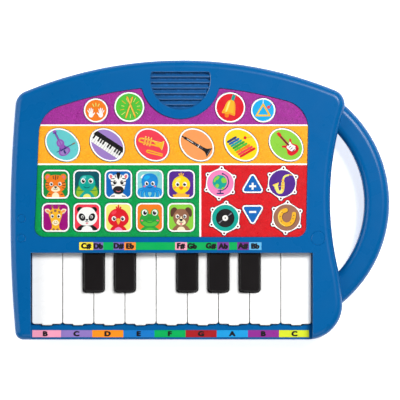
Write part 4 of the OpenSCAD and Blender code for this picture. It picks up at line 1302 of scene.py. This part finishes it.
def octopus():
    arms = [
        ((1.6, -4), (2.6, -7.2), (1.6, -9.6)),
        ((3.2, -4.2), (5.6, -6.2), (5.8, -9.6)),
        ((3.8, -3.4), (7.6, -4.4), (9.0, -8.0)),
    ]
    return "ice", [
        ("white", oval(-5.4, 6.0, 1.9, 1.1, 40)),
        ("aqua", oval(6.6, 7.4, 1.1)),
        ("aqua", oval(-7.4, 1.4, 0.8)),
        *stripes("azure", 2.5, *arms),
        *stripes("sky", 0.5, *arms),
        ("azure", even((0, 8.4), (4.4, 7.0), (6.3, 3.0), (5.6, -1.4), (4.2, -5.0), (0, -6.0))),
        ("sky", oval(-2.2, 5.2, 2.4, 1.5, 24)),
        *eyes(2.4, 0.6, 1.5),
        *both("rose", oval(4.0, -1.6, 0.9, 0.6)),
        smile(0, -2.8, 1.6, "navy", 0.42),
    ]


def chick():
    return "purple", [
        ("amber", even((-5.0, -11), (-4.6, -8.2), (0, -5.6))),
        *both("gold", patch((3.8, -8.4), (6.4, -8.0), (5.0, -11))),
        *[("gold", line(0.9, (0, 5.0), end)) for end in ((-1.7, 8.0), (0, 8.6), (1.7, 8.0))],
        ("yellow", oval(0, -0.4, 6.9, 6.7)),
        ("lemon", oval(-2.3, 3.2, 2.2, 1.3, 30)),
        *eyes(2.8, 0.0, 1.6),
        *both("peach", oval(4.7, -2.6, 1.1, 0.8)),
        ("orange", patch((-1.7, -2.4), (0, -1.5), (1.7, -2.4), (0, -4.4))),
        ("red", line(0.28, (-1.4, -2.6), (0, -2.9), (1.4, -2.6))),
    ]


def giraffe():
    return "magenta", [
        ("gold", even((-5.4, -11), (-3.0, -8.4), (-2.4, -4))),
        *both("brown", oval(1.5, -9.2, 1.0, 0.8)),
        *both("gold", line(0.9, (1.9, 5), (2.5, 8.0))),
        *both("brown", oval(2.6, 8.4, 0.95)),
        *both("cream", patch((3.8, 4.4), (5.4, 6.6), (8.2, 6.2), (7.4, 4.0), (5.0, 2.8))),
        *both("peach", patch((4.6, 4.4), (5.7, 5.7), (7.4, 5.5), (6.8, 4.2), (5.4, 3.5))),
        ("gold", even((0, 6.6), (3.4, 6.0), (5.2, 2.8), (4.0, -1.2), (2.9, -5.0), (0, -6.6))),
        ("brown", patch((-1.2, 5.8), (0.5, 5.9), (0.6, 4.4), (-0.9, 4.3))),
        ("brown", patch((2.2, 4.9), (3.6, 4.5), (3.3, 3.3), (2.1, 3.8))),
        ("brown", patch((-3.9, 4.0), (-2.6, 4.6), (-2.4, 3.3), (-3.6, 3.0))),
        ("cream", even((0, -1.8), (1.9, -2.8), (2.6, -4.6), (0, -6.3))),
        *both("brown", oval(0.9, -3.4, 0.4, 0.3)),
        smile(0, -4.8, 1.4, "brown", 0.38),
        *eyes(2.5, 1.0, 1.3),
    ]


def panda():
    return "coral", [
        ("black", even((-7.4, -11), (-6.4, -7.2), (0, -4.6))),
        ("white", even((-3.8, -11), (-3.4, -7.8), (0, -6.4))),
        *both("black", oval(5.4, 6.0, 2.3, 2.1)),
        ("white", even((0, 7.9), (4.6, 6.6), (7.6, 2.0), (7.6, -2.0), (4.8, -5.4), (0, -6.3))),
        *both("black", oval(3.8, 0.2, 2.3, 3.1, -32)),
        *eyes(3.5, 0.5, 1.05),
        ("black", patch((-1.1, -1.5), (0, -1.2), (1.1, -1.5), (0, -2.7))),
        *muzzle(-3.3, 0.6),
        ("rose", oval(0, -4.4, 0.9, 0.5)),
    ]


def robin():
    return "lemon", [
        ("red", even((-5.2, -11), (-5.4, -8), (0, -4.6))),
        ("pink", even((-2.9, -11), (-2.6, -8.8), (0, -7.4))),
        *[("red", line(1.2, (0, 4.6), end)) for end in ((-1.5, 8.0), (0.1, 9.2), (1.8, 7.8))],
        ("red", even((0, 7.0), (4.8, 5.4), (7.7, 1.0), (7.6, -3.0), (4.8, -6.2), (0, -7.2))),
        ("coral", oval(-3.4, 3.8, 2.2, 1.3, 32)),
        *eyes(3.4, -0.9, 1.7),
        ("amber", patch((-1.6, -1.9), (0, -0.7), (1.6, -1.9), (0, -5.4))),
        ("orange", line(0.3, (-1.2, -2.2), (0, -2.6), (1.2, -2.2))),
    ]


def frog():
    return "orange", [
        ("green", even((-6.6, -11), (-5.6, -8.0), (0, -6))),
        ("leaf", even((-3.8, -11), (-3.2, -8.8), (0, -7.9))),
        *both("green", oval(3.9, 3.5, 3.0, 3.1)),
        ("green", even((0, 2.6), (4.6, 3.4), (7.4, 0), (7.3, -4.2), (4.2, -7.0), (0, -7.7))),
        ("leaf", even((0, -2.6), (4.6, -3.2), (5.6, -4.4), (3.6, -6.2), (0, -6.8))),
        *eyes(3.9, 3.7, 2.15),
        *both("grass", oval(0.8, -0.6, 0.28, count=12)),
        smile(0, -4.0, 3.6, "grass", 0.5),
        *both("rose", oval(6.0, -2.4, 0.9, 0.6)),
    ]


def puppy():
    ear = patch((3.2, 6.4), (5.6, 7.8), (8.0, 5.6), (8.2, 1.6), (6.8, 0.4), (5.4, 3.0))
    return "lime", [
        ("brown", even((-6.2, -11), (-5.2, -7.2), (0, -4.6))),
        ("cream", even((-2.9, -11), (-2.5, -8.2), (0, -7.0))),
        ("brown", even((0, 6.6), (4.0, 5.8), (6.0, 2.0), (5.8, -2.2), (3.6, -5.6), (0, -6.6))),
        *both("dark_brown", ear),
        ("cream", even((0, 1.2), (0.9, -0.8), (2.9, -2.2), (3.3, -4.6), (0, -6.2))),
        ("tan", patch((-4.6, 2.2), (-2.6, 3.0), (-1.4, 0.8), (-2.6, -1.0), (-4.4, -0.2))),
        *eyes(2.8, 0.8, 1.35),
        ("black", patch((-1.4, -1.5), (0, -1.1), (1.4, -1.5), (0, -3.1))),
        *muzzle(-3.9, 0.8),
        ("rose", oval(0, -5.0, 0.8, 0.9)),
    ]


def globe():
    lands = [
        patch((-4.4, 3.6), (-2.2, 5.6), (-0.6, 4.8), (-1.8, 3.0), (-3.2, 2.4), (-4.2, 0.8), (-5.2, 1.6)),
        patch((0.6, 3.0), (2.4, 4.6), (4.6, 3.2), (4.8, 1.0), (2.8, 0.2), (1.4, 0.8)),
        patch((-3.6, -1.0), (-1.8, -0.4), (-1.0, -1.8), (-2.4, -4.0), (-3.6, -2.8)),
        patch((1.2, -3.4), (3.2, -3.0), (2.6, -4.4), (1.0, -4.6)),
    ]
    return "pink", [
        ("navy", line(0.75, (1.8, 7.6), (5.2, 5.2), (6.4, 1.0), (5.0, -3.0), (1.6, -5.4), (-1.6, -5.8))),
        ("navy", line(0.8, (0, -5.2), (0, -7.4))),
        ("navy", line(1.0, (-2.3, -7.8), (2.3, -7.8))),
        ("teal", oval(-0.4, 1.0, 5.5)),
        *[("lime", land) for land in lands],
        ("aqua", line(0.4, (-4.6, -1.6), (-3.0, -3.4), (-0.8, -4.1))),
        ("navy", oval(1.9, 7.4, 0.6)),
    ]


def saxophone():
    tube = [
        (4.6, 6.3), (2.0, 5.4), (0.9, 3.4), (0.6, 0.4), (0.5, -4.0), (-0.6, -6.4), (-2.6, -6.6),
        (-3.8, -4.8), (-4.4, -2.2),
    ]
    mouth = patch(
        (-6.0, -0.6), (-7.4, -1.2), (-6.0, -2.8), (-5.4, -4.6),
        (-3.0, -4.2), (-3.2, -2.0), (-2.6, 0.6), (-4.2, 0.2),
    )
    return "purple", [
        ("gold", line(0.8, (7.2, 6.4), (5.2, 6.7), (3.6, 6.0))),
        ("lemon", line(1.5, *tube[:4])),
        ("lemon", line(2.5, *tube[3:])),
        ("lemon", mouth),
        ("gold", line(0.5, (-7.2, -1.2), (-4.8, -0.4), (-2.8, 0.5))),
        ("gold", line(0.35, (1.3, 3.2), (1.4, 0.2), (1.3, -4.0), (0.0, -6.8))),
        *[("amber", oval(0.4, y, 0.75)) for y in (2.4, 0.4, -1.6, -3.6)],
        ("gold", line(0.4, (-2.4, -2.4), (0.2, -2.0))),
    ]


def record():
    grooves = [("graphite" if k % 2 else "black", oval(0, 0, 6.6 - 0.55 * k, count=48)) for k in range(8)]
    shine = [("grey", [(0, 0), polar((0, 0), 6.2, a - 5), polar((0, 0), 6.2, a + 5)]) for a in (38, 218)]
    return "teal", [
        ("black", oval(0, 0, 7.1, count=48)), *grooves, *shine,
        ("white", oval(0, 0, 2.2)), ("graphite", oval(0, 0, 0.55)),
    ]


def horseshoe():
    path = [
        (-0.6, 5.8), (-3.6, 4.4), (-5.1, 1.0), (-4.0, -3.0),
        (-0.6, -5.2), (3.2, -4.2), (5.2, -0.8), (5.8, 3.0),
    ]
    nails = [(-3.4, 3.9), (-4.8, 1.0), (-3.9, -2.7), (2.9, -3.9), (4.9, -0.7), (5.5, 1.8)]
    return "clay", [
        ("dark_brown", line(3.4, *[(x + 0.35, y - 0.35) for x, y in path])),
        ("gold", line(3.2, *path)),
        ("lemon", line(0.4, (-3.8, 5.0), (-6.2, 1.4), (-5.0, -3.6), (-1.4, -6.4))),
        *[("brown", oval(x, y, 0.42, count=12)) for x, y in nails],
    ]


def volume(sign):
    reach, half = 2.7, 0.75
    strokes = [("white", bar(-reach, reach, -half, half))]
    if sign > 0:
        strokes.append(("white", bar(-half, half, -reach, reach)))
    return "blue", all_turned(strokes, 0, 0, -0.4 * sign)


PICTURES = {
    draw.__name__: draw for draw in (
        clap, sticks, bell, triangle, violin, piano, trumpet, clarinet, xylophone, guitar,
        tiger, turtle, zebra, octopus, chick, giraffe, panda, robin, frog, puppy,
        globe, saxophone, record, horseshoe,
    )
}
PICTURES["volume_up"] = lambda: volume(1)
PICTURES["volume_down"] = lambda: volume(-1)


def signed_area(outline):
    """An outline's area, which is negative when it runs clockwise."""
    edges = zip(outline, outline[1:] + outline[:1])
    return sum(x0 * y1 - x1 * y0 for (x0, y0), (x1, y1) in edges) / 2


def clipped(outline, frame_outline):
    """The part of an outline that lies inside a convex one."""
    for i, b in enumerate(frame_outline):
        a = frame_outline[i - 1]
        side = [(b[0] - a[0]) * (y - a[1]) - (b[1] - a[1]) * (x - a[0]) for x, y in outline]
        kept = []
        for k, p in enumerate(outline):
            q, dq, dp = outline[k - 1], side[k - 1], side[k]
            if (dp >= 0) != (dq >= 0):
                t = dq / (dq - dp)
                kept.append((q[0] + (p[0] - q[0]) * t, q[1] + (p[1] - q[1]) * t))
            if dp >= 0:
                kept.append(p)
        outline = kept
        if len(outline) < 3:
            return []
    return outline


SAME_POINT = 0.004
# The thickness of a layer of print, and the most that all of a picture's layers may stand up.
LAYER_T, STACK_T = 0.03, 0.36


def without_repeats(outline):
    pairs = zip(outline, outline[-1:] + outline[:-1])
    kept = [p for p, q in pairs if hypot(p[0] - q[0], p[1] - q[1]) > SAME_POINT]
    return kept if len(kept) > 2 else []


def picture(button):
    """The printed picture in the button's well, each colour a thin layer over the ones below."""
    ground, shapes = PICTURES[button.name]()
    if button.form == "drum":
        edge = arc((0, 0), DRUM_PICTURE_R, 0, 360, 72)
    else:
        edge = button.outline(-RIM_W - 0.05)
    layers = [(ground, edge)] + shapes
    step = min(LAYER_T, STACK_T / len(layers))
    parts = []
    for k, (name, outline) in enumerate(layers):
        outline = without_repeats(clipped(outline, edge))
        if not outline:
            continue
        if signed_area(outline) < 0:
            outline = outline[::-1]
        points = [(button.at[0] + x, button.at[1] + y) for x, y in outline]
        z = WELL + 0.002 + step * k
        parts.append(paint(slab("layer", points, z if k else WELL - 0.1, z + step), ink(name)))
    if button.form == "drum":
        for corner in range(6):
            at = polar(button.at, LUG_AT, button.size + 60 * corner)
            head = post("lug_screw", at, 0.75, TOP - 0.06, TOP - 0.003, 20)
            parts.append(paint(head, ink("maroon")))
    return joined(button.node + "_picture", parts)


# ---- Keys ----

WHITE_TOP, BLACK_TOP = spot("white_key_b3")[1].z, spot("black_key_cs4")[1].z
SKIRT_Z, TAIL_Z, TAIL_Y, KEY_END_Y = 16.0, 18.1, -35.0, -27.2
BLACK_W, KEY_GAP, BLACK_GAP, SKIN = 15.9, 0.5, 0.4, 1.6
WHITE_FRONT, BLACK_FRONT = -95.5, -70.6
PIVOT, HUB_R, KEY_BORE_R = (-31.0, 21.5), 3.4, 1.56
DOME_TOP, TAIL_INSET = 12.8, 1.25
WHITE_DOME_Y, BLACK_DOME_Y, PLUNGER_R = -78, -60, 2.2


def has_black(i):
    return i in BLACK_AT.values()


def white_corners(i):
    """The outline of white key i: its head, the tongue at its front and its neck between black keys."""
    x0, x1 = joint_x(i) + KEY_GAP / 2, joint_x(i + 1) - KEY_GAP / 2
    middle = (x0 + x1) / 2
    notch, tongue = BLACK_FRONT - 0.8, WHITE_FRONT - TONGUE[1]
    left, right = span(middle, TONGUE[0])
    corners = [(x0, WHITE_FRONT, 2.0), (left, WHITE_FRONT, 0.3), (left + 0.6, tongue, 0.3)]
    corners += [(right - 0.6, tongue, 0.3), (right, WHITE_FRONT, 0.3), (x1, WHITE_FRONT, 2.0)]
    if has_black(i + 1):
        neck = joint_x(i + 1) - BLACK_W / 2 - BLACK_GAP
        corners += [(x1, notch, 0.5), (neck, notch, 2.8), (neck, TAIL_Y, 0.3)]
    else:
        corners.append((x1, TAIL_Y, 0.3))
    if has_black(i):
        neck = joint_x(i) + BLACK_W / 2 + BLACK_GAP
        corners += [(neck, TAIL_Y, 0.3), (neck, notch, 2.8), (x0, notch, 0.5)]
    else:
        corners.append((x0, TAIL_Y, 0.3))
    return corners


def key_body(name, corners, top, round_r, taper=0.0):
    """A hollow key: a skirted shell with a rounded top edge, open below."""
    inner = [(SKIN + taper, top - SKIN - 0.4), (SKIN, SKIRT_Z)]
    outer = [(0, SKIRT_Z), (0, top - round_r - 4), *over(top, round_r, 1, taper, 6)]
    return loft(name, lambda inset: rounded(corners, inset), inner + outer)


def key_tail(x, middle, plunger_y, top):
    """The key's tail and hub, which turns on the rod, and the plunger over its dome."""
    x = (x[0] + TAIL_INSET, x[1] - TAIL_INSET)
    hub, bore = (arc(PIVOT, r, 0, 360, 24) for r in (HUB_R, KEY_BORE_R))
    tail = block("tail", x, (TAIL_Y - 1.0, KEY_END_Y), (TAIL_Z, WHITE_TOP))
    add(tail, along_x("hub", hub, x))
    cut(tail, along_x("bore", bore, (x[0] - 1, x[1] + 1)))
    return [tail, post("plunger", (middle, plunger_y), PLUNGER_R, DOME_TOP, top - 1, 20)]


def make_keys():
    for i, name in enumerate(WHITE_NAMES):
        node = "white_key_" + name
        corners = white_corners(i)
        necks = [x for x, y, _ in corners if y == TAIL_Y]
        body = key_body(node + "_moulding", corners, WHITE_TOP, 0.9)
        tail = key_tail((min(necks), max(necks)), joint_x(i + 0.5), WHITE_DOME_Y, WHITE_TOP)
        key = joined(node + "_key", [body, *tail])
        settle(smooth(paint(key, KEY_WHITE)), node, "key_white", node)
    for name, at in BLACK_AT.items():
        node = "black_key_" + name
        middle = joint_x(at)
        x0, x1 = span(middle, BLACK_W / 2)
        corners = [(x0, BLACK_FRONT, 2.6), (x1, BLACK_FRONT, 2.6), (x1, TAIL_Y, 0.5), (x0, TAIL_Y, 0.5)]
        body = key_body(node + "_moulding", corners, BLACK_TOP, 1.2, 0.35)
        tail = key_tail((x0, x1), middle, BLACK_DOME_Y, BLACK_TOP)
        key = joined(node + "_key", [body, *tail])
        settle(smooth(paint(key, KEY_BLACK)), node, "key_black", node)


# ---- Contact mats ----

WHITE_TURN, BLACK_TURN, BUTTON_TRAVEL = 3.5, 4.5, 1.1
PLUNGER_GAP, MAT_T = 0.2, 0.8
KEY_MAT_X, KEY_MAT_Y = (-124, 80), (-84, -54)
BOARD_POSTS = [(-103, 60), (68, 60), (-88.6, 42.4), (49, 42.4), (1.2, -22)]
# The radius of a dome at each share of its height: a bell-shaped skirt, then the crown.
DOME = [(4.0, 0), (3.95, 0.25), (3.7, 0.45), (3.2, 0.62), (2.85, 0.7), (2.8, 0.76), (2.8, 0.94), (2.6, 1)]


def contact_dome(body, at, z):
    """A silicone contact dome for body, standing at at between the heights z."""
    height = z[1] - z[0]
    levels = [(r, z[0] + share * height) for r, share in DOME]
    dome = smooth(paint(lathe(body + "_dome", at, levels, 32), SILICONE))
    settle(dome, "casing", "silicone")
    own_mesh(dome)


def mat_levels(low, inset=0.0):
    return [(inset, low), (inset, low + MAT_T - 0.2), (inset + 0.2, low + MAT_T)]


def key_contact_mat():
    z = heights("key_contact_mat")
    mat = rounded_box("key_mat_sheet", KEY_MAT_X, KEY_MAT_Y, 0.4, mat_levels(z[0]))
    settle(smooth(paint(mat, SILICONE)), "casing", "silicone", "key_contact_mat")
    white = [("white_key_" + name, i + 0.5, WHITE_DOME_Y, WHITE_TURN) for i, name in enumerate(WHITE_NAMES)]
    black = [("black_key_" + name, i, BLACK_DOME_Y, BLACK_TURN) for name, i in BLACK_AT.items()]
    for body, i, y, turn in white + black:
        contact_dome(body, (joint_x(i), y), z)


def button_contact_mat():
    z = heights("button_contact_mat")
    mat = loft("button_mat_sheet", panel_outline, mat_levels(z[0], 4.5))
    holes = [post("post_hole", s, 2.6, z[0] - 1, z[0] + 2) for s in BOARD_POSTS]
    cut(mat, joined("post_holes", holes))
    settle(smooth(paint(mat, SILICONE)), "casing", "silicone", "button_contact_mat")
    for button in BUTTONS:
        contact_dome(button.node, button.at, z)


# ---- Picture panel and note strips ----

MAGENTA = printed("print_magenta", shade(150, 44, 138), 0.5)
ORANGE = printed("print_orange", shade(244, 162, 34), 0.35)
GREEN = printed("print_green", shade(0, 142, 70), 0.45)
RED = printed("print_red", shade(200, 22, 30), 0.3)
PAPER_WHITE = printed("print_white", shade(252, 250, 244))
LINE_1, LINE_2, LINE_X = (57.0, 58.1), (26.9, 28.1), (-0.5, 0.9)


def panel_area(name, x, y, material):
    """One printed field of the panel, with the holes of the buttons in it. The white lines have none."""
    sheet = loft(name, panel_outline, [(0.3, DECK + 0.001), (0.3, PANEL_TOP)])
    keep(sheet, block("zone", x, y, (DECK - 1, PANEL_TOP + 1)))
    if material is not PAPER_WHITE:
        inside = [b for b in BUTTONS if y[0] < b.at[1] < y[1]]
        cut(sheet, joined("holes", [button_hole(b, PRINT_GAP, DECK - 1, TOP + 1) for b in inside]))
    return paint(sheet, material)


def artwork_panel():
    far = 200
    low = (-far, LINE_2[0])
    zones = [
        panel_area("magenta_area", (-far, far), (LINE_1[1], far), MAGENTA),
        panel_area("line_one", (-far, far), LINE_1, PAPER_WHITE),
        panel_area("orange_area", (-far, far), (LINE_2[1], LINE_1[0]), ORANGE),
        panel_area("line_two", (-far, far), LINE_2, PAPER_WHITE),
        panel_area("green_area", (-far, LINE_X[0]), low, GREEN),
        panel_area("line_three", LINE_X, low, PAPER_WHITE),
        panel_area("red_area", (LINE_X[1], far), low, RED),
    ]
    return settle(joined("picture_sheet", zones), "casing", "printed_sheet", "artwork_panel")


LETTER_INK = printed("print_black", shade(22, 20, 24))
NATURALS = [
    ("B", (248, 160, 188)), ("C", (140, 116, 186)), ("D", (250, 142, 30)),
    ("E", (22, 116, 192)), ("F", (0, 168, 84)), ("G", (164, 28, 34)),
    ("A", (28, 152, 216)), ("B", (142, 44, 142)), ("C", (212, 222, 44)),
]
STRIP_GREEN = (0, 166, 84)
# The rear strip's fields from left to right: the name, the colour and the width.
SHARPS = [
    ("C#", (250, 224, 60), 10.8), ("Db", (118, 100, 174), 7.7), ("", STRIP_GREEN, 7.7),
    ("D#", (118, 100, 174), 8.5), ("Eb", (242, 138, 46), 8.8), ("", STRIP_GREEN, 30.4),
    ("F#", (240, 158, 180), 9.2), ("Gb", STRIP_GREEN, 7.7), ("", STRIP_GREEN, 6.1),
    ("G#", STRIP_GREEN, 9.3), ("Ab", (122, 60, 150), 9.2), ("", STRIP_GREEN, 6.2),
    ("A#", (112, 44, 134), 9.2), ("Bb", (96, 176, 222), 9.6),
]
strip_inks = {}


def strip_ink(colour):
    if colour not in strip_inks:
        strip_inks[colour] = printed("strip_%02x%02x%02x" % colour, shade(*colour))
    return strip_inks[colour]


# Where the shifted copies of a letter stand that make it bold.
BOLD = [(0.42, 0.12), (-0.42, -0.12), (0.2, -0.26), (-0.2, 0.26)]
# The font's size for capitals one unit high, and half the thickness of a letter.
FONT_SIZE, LETTER_T = 1.38, 0.03


def lettering(text, at, z, height, width=1.0):
    """Letters centred on at, standing on the height z, made bold by shifted copies."""
    curve = bpy.data.curves.new("letters", "FONT")
    curve.body = text
    curve.size = height * FONT_SIZE * MM
    curve.align_x, curve.align_y = "CENTER", "CENTER"
    curve.offset = height * 0.02 * MM
    curve.extrude = LETTER_T * MM
    curve.space_character = 1.08
    source = new_object("letters", curve)
    graph = bpy.context.evaluated_depsgraph_get()
    mesh = bpy.data.meshes.new_from_object(source.evaluated_get(graph), depsgraph=graph)
    bpy.data.objects.remove(source)
    letters = new_object("letters", mesh)
    xs, ys = [v.co.x for v in mesh.vertices], [v.co.y for v in mesh.vertices]
    mid_x, mid_y = (min(xs) + max(xs)) / 2, (min(ys) + max(ys)) / 2
    for v in mesh.vertices:
        v.co.x = (v.co.x - mid_x) * width + at[0] * MM
        v.co.y = v.co.y - mid_y + at[1] * MM
        v.co.z += (z + LETTER_T) * MM
    copies = [letters]
    for k, (x, y) in enumerate(BOLD, 1):
        copy = new_object("letters", mesh.copy())
        for v in copy.data.vertices:
            v.co += Vector((x * MM, y * MM, -0.002 * k * MM))
        copies.append(copy)
    return paint(joined("letters", copies), LETTER_INK)


# How far below the casing's face a strip's back and front lie, and the feet of its letters.
STRIP_BACK, STRIP_FACE, LETTER_FOOT = 0.19, 0.06, 0.065


def strip_field(x, y, top, colour):
    return paint(block("field", x, y, (top - STRIP_BACK, top - STRIP_FACE)), strip_ink(colour))


def note_strips():
    """Both stuck-on strips: a coloured field for each note, with its name printed on it."""
    parts = []
    gap, shift = 0.1, 1.3
    y = (NATURALS_Y[0] + gap, NATURALS_Y[1] - gap)
    for i, (name, colour) in enumerate(NATURALS):
        x0 = joint_x(i) - shift if i else NATURALS_X[0] + gap
        x1 = min(joint_x(i + 1) - shift, NATURALS_X[1] - gap)
        parts.append(strip_field((x0, x1), y, RAIL_TOP, colour))
        middle = joint_x(i + 0.5) - 1.4
        parts.append(lettering(name, (middle, sum(y) / 2), RAIL_TOP - LETTER_FOOT, 3.6, 1.25))
    y = (SHARPS_Y[0] + gap, SHARPS_Y[1] - gap)
    x = SHARPS_X[0] + gap
    scale = (SHARPS_X[1] - SHARPS_X[0] - 2 * gap) / sum(w for _, _, w in SHARPS)
    for name, colour, width in SHARPS:
        x1 = x + width * scale
        parts.append(strip_field((x, x1), y, TOP, colour))
        if name:
            parts.append(lettering(name, ((x + x1) / 2, sum(y) / 2), TOP - LETTER_FOOT, 4.0))
        x = x1
    return settle(joined("note_strips", parts), "casing", "label_green", "note_label_strips")


# ---- Underside and switch ----


THUMB_GROOVES, GROOVE_PITCH, GROOVE_H = 6, 2.4, 1.3


def battery_door():
    """The door with its screw's tab, the pins it turns on, and the grooves for the thumb."""
    x, y = (BOX_X[0] + DOOR_GAP, BOX_X[1] - DOOR_GAP), (HINGE[0], BOX_Y[1] - DOOR_GAP)
    plate = [(0.35, FOOT), (0.1, FOOT + 0.12), (0, FOOT + 0.4), (0, FOOT + DOOR_T)]
    door = rounded_box("door_moulding", x, y, 0.4, plate)
    tab_y = (y[1] - 1.5, DOOR_SCREW[1] + TAB_REACH)
    add(door, rounded_box("tab", span(DOOR_SCREW[0], TAB_HALF_W), tab_y, 1.0, plate))
    knuckle, pin = arc(HINGE, KNUCKLE_R, 0, 360, 24), arc(HINGE, PIN_R, 0, 360, 18)
    add(door, along_x("knuckle", knuckle, x), along_x("pins", pin, (x[0] - 1.8, x[1] + 1.8)))
    levels = [(-0.4, FOOT - 0.3), (-0.1, FOOT), (0.2, FOOT + 0.5)]
    for i in range(THUMB_GROOVES):
        low = 9 + GROOVE_PITCH * i
        cut(door, rounded_box("groove", (-28, -6), (low, low + GROOVE_H), 0.4, levels))
    cut(door, post("head_recess", DOOR_SCREW, 3, FOOT - 1, FOOT + 1.3))
    cut(door, post("hole", DOOR_SCREW, 1.45, FOOT, FOOT + 3))
    smooth(paint(door, CASING))
    return settle(door, "battery_door", "casing_blue", "battery_door")


def switch_knob():
    x, y = SWITCH_C
    lever = block("lever", span(x, LEVER[0]), span(y, LEVER[1]), (FOOT + 0.5, 5.6))
    levels = [(0.3, FOOT - 0.4), (0, FOOT - 0.1), (0, FOOT + 1)]
    pad = rounded_box("pad", span(x, PAD[0]), span(y, PAD[1]), 0.8, levels)
    for groove in (-2.2, -0.75, 0.7, 2.15):
        cut(pad, block("groove", span(x + groove, 0.45), span(y, 4), (0, FOOT - 0.05)))
    knob = smooth(paint(add(pad, lever), KNOB_BLACK))
    return settle(knob, "power_switch", "knob_black", "power_switch_knob")


FEET = [(-122, -94), (84, -92), (-120, 66), (74, 70)]


def rubber_feet():
    dish = [(3.2, 0.35), (3.6, 0.05), (4.0, 0.0)]
    levels = dish + [(5.2, 0.0), (5.7, 0.15), (6, 0.5), (6, FOOT)]
    parts = [lathe("foot", at, levels, 48) for at in FEET]
    feet = smooth(paint(joined("feet", parts), RUBBER))
    return settle(feet, "casing", "foot_rubber", "rubber_feet")


# ---- The object ----

KEPT_NODES = {
    STEEL: ["key_pivot_rod", "casing_screws", "battery_door_screw"],
    NICKEL: ["battery_contacts"],
    BOARD: ["key_circuit_board", "button_circuit_board"],
    BED: ["key_bed"],
    SPEAKER: ["speaker_driver"],
    CELL: ["battery_cells"],
}


def finish_kept_nodes():
    """Gives the CAD solids that stay as they are their materials."""
    for material, nodes in KEPT_NODES.items():
        for node in nodes:
            paint(frame["nodes"][node], material)


def build_object():
    front_casing()
    grille_cloth()
    rear_casing()
    handle_shell("handle_front", 1, "handle_front_shell")
    handle_shell("handle_rear", -1, "handle_rear_shell")
    artwork_panel()
    note_strips()
    for button in BUTTONS:
        moulding = paint(smooth(cap(button)), CAP_WHITE)
        moulding.name = button.node + "_cap"
        settle(moulding, button.node, "picture_" + button.name, button.node)
        settle(picture(button), button.node, "picture_" + button.name)
    make_keys()
    key_contact_mat()
    button_contact_mat()
    battery_door()
    switch_knob()
    rubber_feet()
    finish_kept_nodes()


# ---- Floor, light and camera ----


def floor():
    recipe = Recipe("studio_floor", 0.6, specular=0.2)
    recipe.colour(recipe.mix(recipe.spread(300), shade(250, 250, 250), shade(252, 252, 252)))
    recipe.shader.inputs["Emission Color"].default_value = (1, 1, 1, 1)
    recipe.shader.inputs["Emission Strength"].default_value = 0.7
    ground = block("floor", (-3000, 3000), (-3000, 3000), (-5, 0))
    paint(ground, recipe.material)


def softbox(name, at, aim, size, power):
    light = bpy.data.lights.new(name, "AREA")
    light.shape = "RECTANGLE"
    light.size, light.size_y = size
    light.energy = power
    lamp = new_object(name, light)
    lamp.location = Vector(at)
    lamp.rotation_euler = (Vector(aim) - Vector(at)).to_track_quat("-Z", "Y").to_euler()
    lamp.visible_camera = False


WALL_GLOW, CEILING_GLOW = 1.0, 0.08


def studio_walls():
    """White walls all round that fade to a dim ceiling, so that flat faces don't mirror a white sky."""
    world = bpy.data.worlds.new("studio")
    world.use_nodes = True
    nodes, link = world.node_tree.nodes, world.node_tree.links.new
    direction = nodes.new("ShaderNodeTexCoord").outputs["Generated"]
    split = nodes.new("ShaderNodeSeparateXYZ")
    link(direction, split.inputs["Vector"])
    fade = map_range(nodes, link, split.outputs["Z"], 0.25, 0.92, WALL_GLOW, CEILING_GLOW)
    link(fade, nodes["Background"].inputs["Strength"])
    return world


def studio():
    floor()
    middle = (0, 0, 0.02)
    softbox("key_light", (0.58, 0.55, 1.2), middle, (0.55, 0.55), 23)
    softbox("left_fill", (-1.3, 0.2, 0.65), middle, (1.1, 1.1), 12)
    softbox("front_fill", (0.1, -1.2, 0.9), middle, (1.4, 0.9), 7)
    bpy.context.scene.world = studio_walls()
    bpy.context.scene.view_settings.view_transform = "Standard"


VIEW_WIDTH = 0.3077
CAMERA_HEIGHT = 6.0


def camera():
    """Looks straight down on the face, the player's side at the bottom of the view."""
    data = bpy.data.cameras.new("camera")
    data.sensor_width = 36
    data.lens = data.sensor_width * CAMERA_HEIGHT / VIEW_WIDTH
    data.clip_end = 20
    eye = new_object("camera", data)
    eye.location = (0, 0, CAMERA_HEIGHT + TOP * MM)
    bpy.context.scene.camera = eye


build_object()
studio()
camera()
